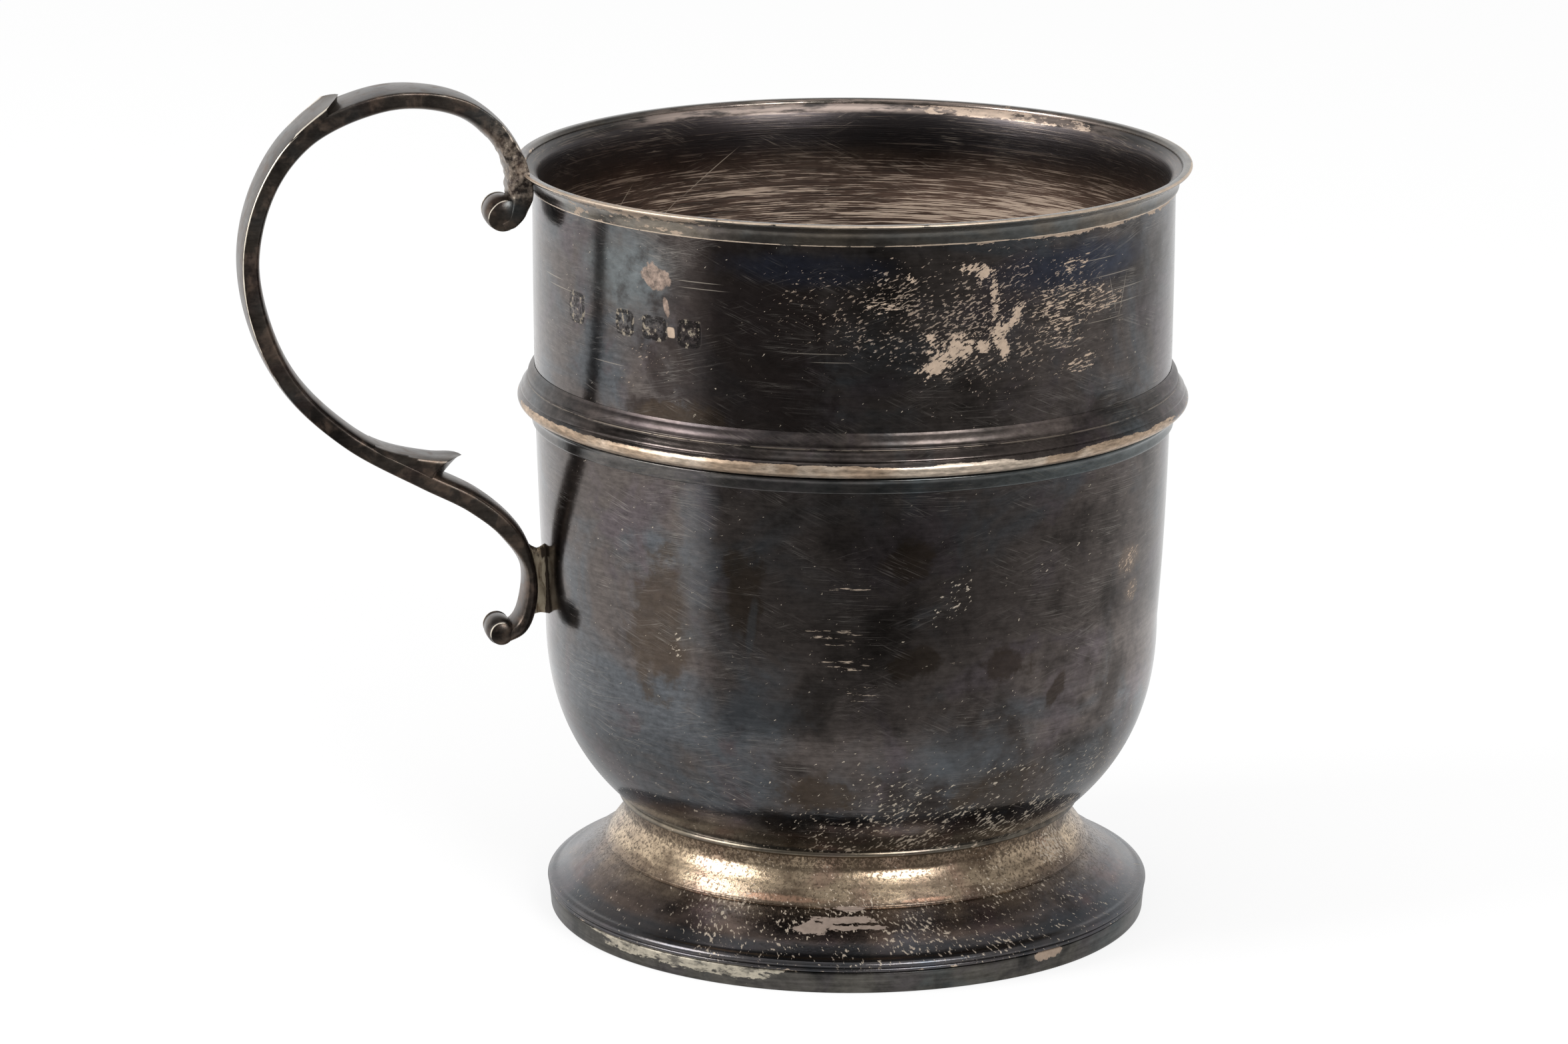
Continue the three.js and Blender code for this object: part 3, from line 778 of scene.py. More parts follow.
def rimFinish():
    material, place = newFinish("rim, rubbed olive tarnish")
    spot, level, angle, radius = place["Spot"], place["Height"], place["Angle"], place["Radius"]
    onRight = rightOf(place, 45, 65)
    nearSide = fade(abs(angle), 130, 95)
    # Fine bare lines on the rim's outer, inner and lower edges, weaker on the far side
    outerLine = fade(level, 85.0, 85.12) * fade(radius, 36.9, 37.05)
    innerLine = fade(level, 84.9, 85.0) * fade(radius, 36.3, 36.15) * (1.0 - onRight * 0.75)
    lines = most(most(outerLine, innerLine), fade(level, 83.0, 82.85))
    fine = flaked(spot, lines * (nearSide * 0.85 + 0.15) * 1.9 - 1.2)
    dull = most(0.6 - nearSide * 0.6, onRight * fade(radius, 36.6, 36.3) * 0.62)
    film = blend(dull, filmOn(place, rim["film"]), rim["dull"])
    # Painted highlight inside the rim on the far side
    gleam, _ = gleamOf(place)
    film = blend(gleam * fade(radius, 36.5, 36.2) * 0.8, film, rim["gleam"])
    leftPart = fade(angle, -30, -42) * fade(angle, -85, -65)
    rubbed = flaked(spot, fade(level, 83.9, 84.8) * 0.4 + (leftPart * 0.85 - 0.92))
    tone = toneOf(spot)
    return finished(material, rim, film, rim["roughness"], [
        ("hair", scratched(spot, 0.6)), ("rubbed", rubbed, tone), ("line", fine, tone),
    ], cloud(spot, 1.2, 3.0))


makePiece("rim", [rimShell()], [rimFinish()], "rim_moulding")


# Girdle moulding, from its lower edge up: flush fillet, groove, torus, groove, band, fillet, bead
girdle = {
    "fillet": [(35.3, 56.1), (35.46, 56.12), (35.62, 56.3), (35.66, 56.8), (35.74, 57.3), (35.92, 57.6),
               (35.9, 57.74), (35.8, 57.86)],
    "torus": [(35.8, 57.86), (36.0, 57.95), (36.42, 58.1), (36.92, 58.42), (37.18, 58.8), (37.2, 59.2),
              (37.02, 59.55), (36.84, 59.76)],
    "band": [(36.84, 59.76), (36.76, 59.84), (36.84, 59.93), (36.8, 60.1), (36.6, 60.35), (36.4, 60.62),
             (36.22, 60.8), (36.14, 60.86), (36.15, 60.96), (36.16, 61.06), (36.06, 61.18), (36.02, 61.26),
             (36.06, 61.4), (36.02, 61.65), (35.88, 61.95), (35.68, 62.22), (35.5, 62.42), (35.36, 62.7)],
    "seat": [(35.36, 62.7), (35.0, 62.0), (35.0, 56.3), (35.3, 56.1)],
    "waver": 0.07,
    "bump": (0.3, 0.04),
    "film": [(0.105, 0.086, 0.078), (0.09, 0.1, 0.106), (0.1, 0.08, 0.084), (0.05, 0.043, 0.04)],
    "teal": (0.13, 0.152, 0.155),
    # painted pinkish highlight on the bead
    "rosyHighlight": (0.2, 0.155, 0.165),
    "bareMetal": (0.6, 0.5, 0.4),
    "brownMetal": (0.44, 0.325, 0.23),
    "hair": (1, (0.3, 0.27, 0.22), 0.9, 0.45),
    "line": (0.4, (0.4, 0.33, 0.26), 0.8, 0.4),
    "wornMetallic": 0.75,
    "wornRoughness": 0.34,
}


def girdleShell():
    return turned([(flowing(girdle["fillet"], 3), 0), (flowing(girdle["torus"], 5), 0),
                   (flowing(girdle["band"], 4), 0), (girdle["seat"], 0)], girdle["waver"])


def girdleFinish():
    material, place = newFinish("girdle, worn torus")
    spot, level, angle = place["Spot"], place["Height"], place["Angle"]
    teal = fade(level, 58.1, 57.8) * (rightOf(place, -10, 25) * 0.5 + 0.28)
    film = blend(teal, filmOn(place, girdle["film"]), girdle["teal"])
    # A painted pinkish highlight on the bead, at the left
    rosyHighlight = fade(abs(angle + 42.0), 26, 8) * fade(level, 61.0, 61.5)
    film = blend(rosyHighlight * 0.25, film, girdle["rosyHighlight"])
    sheen = fade(angle, -4, 10) * fade(angle, 36, 22) * fade(level, 61.0, 61.6)  # on the bead
    film = shade(film, sheen * 1.1 + 1.0)
    mottle = cloud(spot, (0.35, 0.35, 0.9), 5.0, 0.7) * 2.0
    film = shade(film, (1.0 - fade(level, 60, 61) * 0.25) * mottle)
    patchy = fade(cloud(spot, (0.13, 0.13, 0.3), 3.0), 0.42, 0.62) * rightOf(place, -20, 5)
    above = level - (59.7 - patchy * 0.3)  # the torus's bright top stands lower in patches
    seen = fade(angle, -95, -80) * fade(angle, 62, 50)
    torus = fade(level, 57.9, 58.15) * fade(above, 0.1, -0.35) * (seen * 0.5 + 0.5)
    worn = flaked(stretched(spot, (1.8, 1.8, 1.8)), torus * 2.6 - 1.3)
    lines = flaked(spot, fade(level, 60.9, 60.98) * fade(level, 61.16, 61.08) * 1.6 - 1.2)
    tone = cloud(spot, (0.9, 0.9, 3.6), 4.0, 0.7) * 2.2 - 0.1
    uneven = cloud(spot, (0.22, 0.22, 0.9), 4.0, 0.7) * 1.5 + 0.2
    aside = fade(abs(angle + 12.0), 26, 48)  # browner away from the middle
    brown = fade(aside * 0.12 + cloud(spot, 0.12, 3.0), 0.44, 0.6)
    bareMetal = blend(brown, girdle["bareMetal"], girdle["brownMetal"])
    girdle["worn"] = (1, bareMetal, girdle["wornMetallic"], girdle["wornRoughness"])
    return finished(material, girdle, film, fade(level, 60.5, 61.2) * 0.14 + 0.2, [
        ("hair", scratched(spot, 0.5)), ("line", lines), ("worn", worn, tone * uneven),
    ], cloud(spot, (0.8, 0.8, 1.6), 3.0))


makePiece("girdle", [girdleShell()], [girdleFinish()], "girdle_moulding")


# Foot, from its lower edge up: edge bead, step, ovolo, crease, cavetto and neck
foot = {
    "edge": [(33.6, 2.42), (33.78, 2.5), (33.74, 2.78), (33.6, 2.86), (33.66, 2.94), (33.86, 3.06),
             (33.88, 3.3), (33.7, 3.56), (33.3, 3.74), (32.9, 3.8), (32.62, 3.92)],
    "ovolo": [(32.62, 3.92), (32.3, 4.12), (31.6, 4.62), (30.9, 5.16), (30.0, 5.8), (29.0, 6.45),
              (28.2, 7.02), (27.62, 7.46), (27.42, 7.56)],
    "cavetto": [(27.42, 7.56), (27.33, 7.62), (27.36, 7.78), (27.2, 8.0), (26.86, 8.5), (26.35, 9.2),
                (25.85, 9.85), (25.4, 10.55), (25.16, 11.1), (25.1, 11.6), (25.1, 12.9)],
    "back": [(25.1, 12.9), (24.2, 12.9), (24.2, 11.4), (24.6, 10.2), (26.0, 8.1), (26.5, 7.2), (28.4, 5.7),
             (31.2, 3.5), (32.5, 2.6), (32.5, 2.42), (33.6, 2.42)],
    "waver": (0.14, 0.05, -0.3),  # unevenness in mm, how fast it changes, and how far aside the foot stands
    "bump": (0.35, 0.05),
    "brass": [(0.62, 0.48, 0.33), (0.47, 0.36, 0.26), (0.54, 0.37, 0.27), (0.2, 0.14, 0.095)],
    "umber": [(0.185, 0.14, 0.117), (0.12, 0.12, 0.132), (0.155, 0.112, 0.11), (0.066, 0.054, 0.05)],
    "roughness": 0.2,
    # painted shade on the brass
    "brassShadeColour": (0.115, 0.074, 0.05),
    "blue": (0.085, 0.1, 0.115),
    # painted coppery highlight along the crease
    "creaseHighlight": (0.55, (0.58, 0.33, 0.22), 0.9, 0.3),
    "crust": (0.78, (0.065, 0.045, 0.03), 0.9, 0.45),
    "dot": (0.9, (0.52, 0.44, 0.35), 0.55, 0.5),
    "patch": (1, (0.33, 0.26, 0.215), 0.5, 0.55),
    "rimLine": (1, paleTan, 0.7, 0.4),
    "worn": [(50, 10.2, 6.5, 2.6, 0.0)],  # places, as on the cup
    "patches": [(-20.5, 6.0, 3.0, 0.65, 0.0), (-13.5, 6.7, 5.0, 0.3, 0.0), (-10, 6.1, 3.6, 0.22, 0.0),
                (-13, 7.6, 3.4, 0.22, 0.0)],
    # places of the painted coppery highlight along the crease
    "coppery": [(-28, 8.3, 9.0, 0.45, 0.0), (6, 8.1, 5.0, 0.3, 0.0)],
}


def footShell():
    return turned([(rounded(foot["edge"], 0.08, 2), 0), (flowing(foot["ovolo"], 5), 0),
                   (flowing(foot["cavetto"], 5), 0), (foot["back"], 0)], *foot["waver"])


def footFinish():
    material, place = newFinish("foot, brassy tarnish")
    spot, level = place["Spot"], place["Height"]
    # Brassy above, umber and blue below, with a ragged line between them
    # Darker, mottled brass away from the cavetto's middle: painted shade, with tarnish mottling
    offMiddle = fade(abs(level - 10.0), 0.6, 2.2)
    brassShadeShare = fade(offMiddle * 0.2 + cloud(spot, (0.2, 0.2, 0.5), 4.0, 0.65), 0.5, 0.7)
    brass = blend(brassShadeShare * 0.65, filmOn(place, foot["brass"], 0, 0, 0.8), foot["brassShadeColour"])
    umber = blend(fade(level, 5.2, 4.4) * 0.6, filmOn(place, foot["umber"], 0, 0, 0.6), foot["blue"])
    edge = level + (cloud(spot, 0.3, 4.0, 0.6) * 2.4 - 1.2)
    film = blend(fade(edge, 9.2, 5.6), brass, umber)

    # Dark crust in the brass, bare dots, torn patches and a painted coppery highlight along the crease
    grain = cloud(spot, 2.8, 5.0, 0.72)
    crust = fade(fade(level, 10.4, 11.4) * 0.05 + grain, 0.515, 0.575) * fade(level, 4.5, 8.0)
    front = fade(abs(place["Angle"] + 2.0), 62, 34)
    plain = fade(level, 7.5, 9.5) + fade(level, 4.2, 3.0)
    density = fade(cloud(spot, 0.16, 3.0), 0.35, 0.65) * 0.2 + 0.3
    density = density * (front * 0.4 + 0.6) * (1.0 - plain * 0.3)
    worn = fade(wallField(place, foot["worn"]), -0.4, 0.6)
    dots = flecked(stretched(place["Wall"], (1.5, 0.85, 1.0)), most(density, worn * 0.6), -0.2)
    torn = cloud(spot, (0.45, 0.45, 1.6), 5.0, 0.7) * 3.0 - 1.5
    patch = fade(wallField(place, foot["patches"]) + torn, 0.1, 0.22)
    # Painted coppery highlight along the crease
    coppery = fade(raggedField(place, foot["coppery"], 1.2, 0.5), 0.0, 0.6)
    rims = flaked(spot, fade(level, 2.95, 2.6) * 1.2 - 1.45)
    tone = toneOf(spot)
    return finished(material, foot, film, foot["roughness"], [
        ("creaseHighlight", coppery), ("crust", crust), ("dot", dots, tone), ("patch", patch, tone),
        ("rimLine", rims, tone),
    ], grain - dots * 0.5)


makePiece("foot", [footShell()], [footFinish()], "foot_shell")


# Collar wire, where the foot meets the cup
collar = {
    "outline": [(25.0, 12.72), (25.6, 12.72), (25.92, 12.9), (26.0, 13.15), (25.92, 13.42),
                (25.66, 13.62), (25.2, 13.7), (24.8, 13.6), (25.0, 12.72)],
    "waver": (0.1, 0.07, -0.15),
    "bump": (0.3, 0.04),
    "film": [(0.24, 0.2, 0.15), (0.17, 0.155, 0.13), (0.2, 0.16, 0.13), (0.08, 0.07, 0.06)],
    "roughness": 0.26,
    "wear": -0.3,
    "worn": (1, paleTan, 0.8, 0.4),
}


def collarFinish():
    material, place = newFinish("collar, rubbed")
    spot = place["Spot"]
    layers = [("worn", flaked(spot, collar["wear"]))]
    film = filmOn(place, collar["film"])
    return finished(material, collar, film, collar["roughness"], layers, cloud(spot, 1.2, 3.0))


collarShell = turned([(rounded(collar["outline"], 0.12), 0)], *collar["waver"])
makePiece("collar", [collarShell], [collarFinish()], "foot_collar")


# Plain strip round the foot's edge
footStrip = {
    "outline": [(33.0, 0), (33.4, 0), (33.52, 0.12), (33.6, 1.2), (33.7, 2.2), (33.62, 2.36),
                (33.4, 2.42), (32.5, 2.42), (32.5, 0.1), (32.6, 0), (33.0, 0)],
    "waver": (0.12, 0.05, -0.3),
    "bump": (0.3, 0.04),
    "film": [(0.13, 0.122, 0.108), (0.09, 0.104, 0.106), (0.11, 0.1, 0.1), (0.04, 0.039, 0.038)],
    "roughness": 0.24,
    "worn": (1, (0.6, 0.54, 0.43), 0.7, 0.38),
    "patch": (1, (0.33, 0.25, 0.19), 0.5, 0.55),
    "patches": [(27.5, 2.1, 2.3, 0.9, 0.0)],
}


def footStripFinish():
    material, place = newFinish("foot strip, grey tarnish")
    spot, level, angle = place["Spot"], place["Height"], place["Angle"]
    leftPart = fade(angle, -20, -32) * fade(angle, -75, -58) * 2.2
    blotch = fade(cloud(spot, (0.5, 0.5, 1.3), 4.0, 0.7), 0.36, 0.56)
    ledge = fade(level, 1.9, 2.3) * 0.9  # the strip's upper edge is worn all round
    wear = ledge - 1.45 + (fade(level, 0.5, 1.6) * 0.6 + 0.4) * leftPart
    patch = fade(raggedField(place, footStrip["patches"], 1.6, 0.6), 0.15, 0.25)
    film = filmOn(place, footStrip["film"], 0, 0, 1.0)
    tone = toneOf(spot)
    return finished(material, footStrip, film, footStrip["roughness"], [
        ("worn", flaked(spot, wear) * (blotch * 0.7 + 0.2), tone), ("patch", patch, tone),
    ], cloud(spot, 1.2, 3.0))


footStripShell = turned([(rounded(footStrip["outline"], 0.1, 2), 0)], *footStrip["waver"])
makePiece("foot_band", [footStripShell], [footStripFinish()], "foot_strip")


# Handle. Stations are (out from the wall, height, thickness) along the strip's middle line.
handle = {
    "stations": [
        (4.0, 79.65, 1.5), (3.0, 80.15, 1.8), (2.4, 81.2, 2.25), (2.0, 83.2, 2.95),
        (2.5, 86.2, 2.5), (3.9, 88.899, 2.16), (8.114, 92.399, 1.89), (14.215, 93.681, 1.8),
        (19.593, 92.765, 1.89), (25.506, 89.788, 2.07), (29.437, 84.521, 1.8), (31.387, 77.01, 1.8),
        (30.349, 69.499, 1.98), (27.141, 62.766, 1.89), (20.946, 56.629, 1.8), (12.8, 51.912, 1.98),
        (7.202, 48.843, 2.07), (3.15, 45.11, 1.9), (1.27, 40.688, 1.5), (1.4, 36.6, 1.8),
        (2.4, 34.25, 1.9), (4.4, 33.05, 1.5),
    ],
    "crown": 0.46,  # the back's extra height over most of the strip
    "widths": [(0, 5.0), (0.1, 5.4), (0.24, 7.0), (0.45, 6.3), (0.7, 5.4), (1, 4.9)],  # by share of length
    "steps": 460,
    "solderFrom": (2.2, 3.0),  # station numbers where the root's solder fades in and out
    "solderTo": (4.7, 5.9),
    "upperVolute": {"out": 4.0, "height": 80.82, "radius": 1.9, "length": 4.6, "flat": 0.2, "swell": 0.0},
    "lowerVolute": {"out": 4.6, "height": 33.75, "radius": 1.36, "length": 4.8, "flat": 0.0, "swell": 0.12},
    "upperSpur": {"at": 0.27, "length": 6.8, "rise": 0.75, "side": 1, "heading": -1, "glow": 1.0,
                  "hollow": 0.5, "deep": 0.4, "point": 1.7, "fall": 0.2},
    "lowerSpur": {"at": 0.791, "length": 9.8, "rise": 2.6, "side": -1, "heading": 1, "glow": 0.32,
                  "hollow": 1.2, "deep": 0.9, "point": 1.6, "fall": 0.85},
    "bump": (0.3, 0.05),
    "film": [(0.105, 0.088, 0.074), (0.095, 0.1, 0.1), (0.1, 0.075, 0.066), (0.045, 0.038, 0.034)],
    "roughness": 0.3,
    "brown": (0.5, (0.18, 0.12, 0.085), 0.7, 0.5),
    "solder": (0.85, (0.29, 0.235, 0.185), 0.6, 0.42),
    "glint": (1, (0.62, 0.54, 0.44), 0.6, 0.4),
    "brightArris": (1, (0.82, 0.74, 0.62), 0.7, 0.35),
}


def centripetal(before, start, end, after, share):
    # One span of a centripetal curve through points, as the solid's own middle line has it.
    first, second, third = [
        max((b - a).length, 1e-6) ** 0.5 for a, b in ((before, start), (start, end), (end, after))
    ]
    leave = ((start - before) / first - (end - before) / (first + second) + (end - start) / second) * second
    arrive = ((end - start) / second - (after - start) / (second + third) + (after - end) / third) * second
    square = share * share
    cube = square * share
    place = (start * (2 * cube - 3 * square + 1) + end * (3 * square - 2 * cube)
             + leave * (cube - 2 * square + share) + arrive * (cube - square))
    along = ((start - end) * (6 * square - 6 * share)
             + leave * (3 * square - 4 * share + 1) + arrive * (3 * square - 2 * share))
    return place, along.normalized()


def stripAt(place):
    # At a station number, whole or between: the middle line's spot, the way outward, the thickness.
    stations = handle["stations"]
    spots = [Vector((axisX - wallRadius - out, 0, height)) for out, height, _ in stations]
    i = min(int(place), len(stations) - 2)
    before = spots[i - 1] if i > 0 else spots[0] * 2 - spots[1]
    after = spots[i + 2] if i + 2 < len(spots) else spots[-1] * 2 - spots[-2]
    spot, along = centripetal(before, spots[i], spots[i + 1], after, place - i)
    outward = Vector((along.z, 0, -along.x))
    thick = lerp(stations[i][2], stations[i + 1][2], eased(place - i, 0, 1))
    more = handle["crown"] * eased(place, 4.2, 6.0) * (1 - eased(place, 16.8, 18.0))
    return spot + outward * more / 2, outward, thick + more


def measureStrip():
    # Lengths along the strip, to find the station number at any share of its length.
    places = [(len(handle["stations"]) - 1) * share for share in spread(1200)]
    lengths = [0.0]
    for a, b in zip(places, places[1:]):
        lengths.append(lengths[-1] + (stripAt(b)[0] - stripAt(a)[0]).length)
    return places, lengths


stripPlaces, stripLengths = measureStrip()


def placeAtLength(share):
    goal = min(max(share, 0), 1) * stripLengths[-1]
    i = next((k for k, length in enumerate(stripLengths) if length >= goal), len(stripLengths) - 1)
    i = max(i, 1)
    part = (goal - stripLengths[i - 1]) / max(stripLengths[i] - stripLengths[i - 1], 1e-9)
    return lerp(stripPlaces[i - 1], stripPlaces[i], part)


def stripWidth(share):
    widths = handle["widths"]
    for (low, first), (high, second) in zip(widths, widths[1:]):
        if share <= high:
            return lerp(first, second, eased(share, low, high))
    return widths[-1][1]


def stripSection(half, thick, softness):
    # (across, out, arris mark): a slightly crowned back, crisp arrises and a rounded inner face,
    # or an oval where the strip is soft.
    crown = 0.16
    right = [(share * (half - 0.3), thick - crown * share ** 2, 0.0) for share in (0, 0.3, 0.6, 0.85, 1)]
    right += [(half - 0.16, thick - crown - 0.02, 0.2), (half - 0.07, thick - crown - 0.06, 1),
              (half - 0.02, thick - crown - 0.13, 0.9), (half, thick - crown - 0.22, 0.1),
              (half, thick - crown - 0.4, 0), (half, 0, 0), (half, -0.3 * thick, 0),
              (half - 0.02, -0.46 * thick, 0), (half - 0.1, -0.56 * thick, 0)]
    for share in (0.25, 0.5, 0.75):
        turn = share * math.pi / 2
        right.append((math.cos(turn) * (half - 0.15), -thick * (0.56 + 0.44 * math.sin(turn)), 0.0))
    soft = []
    for i, (across, out, mark) in enumerate(right):
        turn = math.pi * i / len(right)
        oval = (half * math.sin(turn) ** 0.75, thick * signedPower(math.cos(turn), 0.75))
        soft.append((lerp(across, oval[0], softness), lerp(out, oval[1], softness), mark * (1 - softness)))
    left = [(-across, out, mark) for across, out, mark in reversed(soft[1:])]
    return soft + [(0, -thick, 0.0)] + left


def arrisBrightness(share):
    # Worn bright down the outer sweep, dull over the top and at the tail, and hidden under the spur.
    start = handle["upperSpur"]["at"]
    under = eased(share, start - 0.002, start) * (1 - eased(share, start + 0.03, start + 0.045))
    sweep = lerp(0.42, 1, eased(share, 0.26, 0.31)) * (1 - 0.9 * eased(share, 0.5, 0.64))
    return sweep * (1 - under)


def stripShell():
    rings = []
    arris = []
    solder = []
    for share in spread(handle["steps"]):
        place = placeAtLength(share)
        spot, outward, thick = stripAt(place)
        half = stripWidth(share) / 2
        lump = eased(place, *handle["solderFrom"]) * (1 - eased(place, *handle["solderTo"]))
        bright = arrisBrightness(share)
        ring = []
        soft = 0.85 * eased(place, 16.9, 18.2) * (1 - 0.6 * eased(place, 19.6, 20.8))
        for across, out, mark in stripSection(half, thick / 2, soft):
            point = spot + outward * out + Vector((0, across, 0))
            bump = noise.noise(point * 0.75) * 0.3 + noise.noise(point * 1.9) * 0.2
            worn = noise.noise(point * 0.3) * 0.05
            push = lump * max(bump, -0.16) if out < thick / 2 - 0.16 else 0
            side = 1 if across > 0 else -1
            point += Vector((0, side * (push + worn), 0)) - outward * push * 0.5
            ring.append(tuple(point))
            arris.append(mark * bright)
            solder.append(lump)
        rings.append(ring)
    return lofted(rings, {"arris": arris, "solder": solder})


def spurShell(spur):
    # A leaf that lifts off one face of the strip to a point, hollowed under its end.
    across = 8
    sides = (0.0, 0.25, 0.45, 0.62, 0.8, 0.93)

    def spotAt(back, lift, reach):
        share = spur["at"] - spur["heading"] * back / stripLengths[-1]
        spot, outward, thick = stripAt(placeAtLength(share))
        half = stripWidth(share) / 2 - 0.02
        return tuple(spot + outward * spur["side"] * (thick / 2 + lift) + Vector((0, half * reach, 0)))

    def backTo(back, part):
        return max(back, spur["hollow"] * (1 - part) ** 0.6)

    def ringAt(back, rise, upTo, pull, fall):
        def edge(parts, side):
            parts = [min(part, upTo) for part in parts]
            return [spotAt(backTo(back, part) + pull, lerp(-spur["deep"], rise - fall, part), side)
                    for part in parts]

        face = []
        for share in spread(across):
            reach = 0.965 * (2 * share - 1)
            lift = rise - fall * abs(reach) ** 2
            behind = backTo(back, upTo) + pull * abs(reach) ** 1.3
            face.append(spotAt(behind, lerp(-spur["deep"], lift, upTo), reach))
        return edge(sides, -1) + face + edge(reversed(sides), 1)

    rings = []
    arris = []
    edge = [0.0] * (len(sides) - 1) + [0.95]
    face = [1.0] + [0.0] * (across - 1) + [1.0]
    for share in spread(30):
        lift = spur["rise"] * share ** 1.7 - 0.12 * (1 - share)
        fall = lerp(0.1, spur["fall"], share ** 2)
        rings.append(ringAt(spur["length"] * (1 - share), lift, 1, spur["point"] * share ** 2, fall))
        glow = eased(share, 0.0, 0.15) * spur["glow"]
        arris += [mark * glow for mark in edge + face + edge[::-1]]
    for down in (0.06, 0.2, 0.4, 0.6, 0.8, 1.0):
        rings.append(ringAt(0, spur["rise"], 1 - down, spur["point"], spur["fall"]))
        arris += [0.0] * len(rings[-1])
    return lofted(rings, {"arris": arris})


def voluteShell(volute):
    # A short drum across the strip, with a bright near edge, a groove behind it and domed ends.
    steps = 72
    half = volute["length"] / 2
    profile = [(0.01, -0.2, 0), (0.35, -0.18, 0), (0.65, -0.1, 0), (0.85, 0.02, 0.1), (0.93, 0.1, 1),
               (0.95, 0.2, 0.8), (0.89, 0.34, 0), (0.87, 0.6, 0), (0.93, 0.95, 0), (1.0, 1.3, 0)]
    profile = [(r, y - half, mark) for r, y, mark in profile]
    profile += [(1.01, 0, 0)] + [(r, -y, mark) for r, y, mark in reversed(profile)]
    rings = []
    arris = []
    for r, y, mark in profile:
        ring = []
        near = 1 - eased(y, 0.3 - half, 0.9 - half)
        swell = 1 + volute["swell"] * eased(y, 0.3 - half, 1.6 - half)
        for i in range(steps):
            turn = 2 * math.pi * i / steps
            upperLeft = max(math.cos(turn - 3.93), 0)
            reach = volute["radius"] * r * swell * (1 - volute["flat"] * near * upperLeft ** 2)
            ring.append((axisX - wallRadius - volute["out"] + reach * math.cos(turn), y,
                         volute["height"] - reach * math.sin(turn)))
            arris.append(mark * eased(upperLeft, 0.1, 0.75))
        rings.append(ring)
    return lofted(rings, {"arris": arris})


def handleFinish():
    material, place = newFinish("handle, dark with bright arrises")
    spot = place["Spot"]
    arris, solder = [Reading(put(spot.tree, "ShaderNodeAttribute", attribute_name=name).outputs["Fac"])
                     for name in ("arris", "solder")]
    bright = fade(arris + (cloud(spot, 0.5, 4.0, 0.6) * 1.4 - 0.7), 0.42, 0.8)
    mottle = cloud(spot, 0.55, 5.0, 0.6, 0.5)
    tail = fade(place["Height"], 58, 46)  # browner down there
    brown = fade(tail * 0.03 + mottle, 0.46, 0.72)
    pits = cloud(spot, 1.5, 4.0, 0.7)
    return finished(material, handle, filmOn(place, handle["film"]), handle["roughness"], [
        ("brown", brown), ("solder", solder * fade(pits, 0.38, 0.6)),
        ("glint", solder * fade(pits, 0.62, 0.68)), ("brightArris", bright),
    ], mottle * solder * 3.0 + cloud(spot, 1.0, 3.0))


handleShells = [stripShell(), spurShell(handle["upperSpur"]), spurShell(handle["lowerSpur"]),
                voluteShell(handle["upperVolute"]), voluteShell(handle["lowerVolute"])]
makePiece("scroll_handle", handleShells, [handleFinish()], "handle")


# Lug: a web from the cup's wall to the lower scroll, drawn in at its middle like a filled joint
lug = {
    "top": (42.8, 1.2),  # height at its middle, and how much higher at its ends
    "bottom": (35.4, 0.5),
    "half": (0.55, 0.15),  # half its width, and how much more at its ends
    "uneven": 0.16,
    "sunk": (0.3, 0.4),  # into the wall, and into the scroll
    "bump": (0.6, 0.1),
    "film": [(0.34, 0.27, 0.19), (0.24, 0.2, 0.15), (0.28, 0.2, 0.13), (0.1, 0.075, 0.055)],
    "roughness": 0.38,
    "tan": (1, (0.46, 0.39, 0.28), 0.35, 0.5),
    # painted shade with some dirt where the joint meets the wall, and darker along its top
    "dark": (1, (0.07, 0.05, 0.035), 0.7, 0.5),
}
scrollSpots = [stripAt(17 + 4 * share) for share in spread(60)]


def scrollFaceAt(height):
    # How far from the cup's axis the lower scroll's inner face stands.
    spot, _, thick = min(scrollSpots, key=lambda found: abs(found[0].z - height))
    return axisX - spot.x - thick / 2


def lugShell():
    around = 64
    rings = []
    for share in spread(14):
        ends = abs(2 * share - 1)
        rise = ends ** 1.6 * lerp(0.5, 1, share)
        top = lug["top"][0] + lug["top"][1] * rise
        bottom = lug["bottom"][0] - lug["bottom"][1] * rise
        half = lug["half"][0] + lug["half"][1] * ends ** 2
        ring = []
        for i in range(around):
            turn = 2 * math.pi * i / around
            up = signedPower(math.sin(turn), 0.75)
            wide = signedPower(math.cos(turn), 0.6)
            height = lerp(bottom, top, 0.5 + 0.5 * up)
            reach = lerp(cupRadiusAt(height) - lug["sunk"][0], scrollFaceAt(height) + lug["sunk"][1], share)
            bump = 1 + lug["uneven"] * noise.noise(Vector((reach, wide, height)) * 0.9)
            ring.append((axisX - reach, half * wide * bump, height))
        rings.append(ring)
    return lofted(rings, {})


def solderFinish():
    material, place = newFinish("solder, tan and pitted")
    mottle = cloud(place["Spot"], (1.4, 1.4, 0.4), 5.0, 0.65, 0.4)
    # Darker where the joint meets the wall, painted shade with some dirt in that crease, and darker along its
    # top
    creaseShadeAndTop = fade(place["Radius"], 34.95, 34.7) + fade(place["Height"], 41.2, 42.6) * 0.6
    return finished(material, lug, filmOn(place, lug["film"]), lug["roughness"], [
        ("tan", fade(mottle, 0.3, 0.55)), ("dark", fade(creaseShadeAndTop * 0.3 + mottle, 0.56, 0.7)),
    ], mottle)


makePiece("lug", [lugShell()], [solderFinish()], "handle_lug")
print("stage: pieces made")


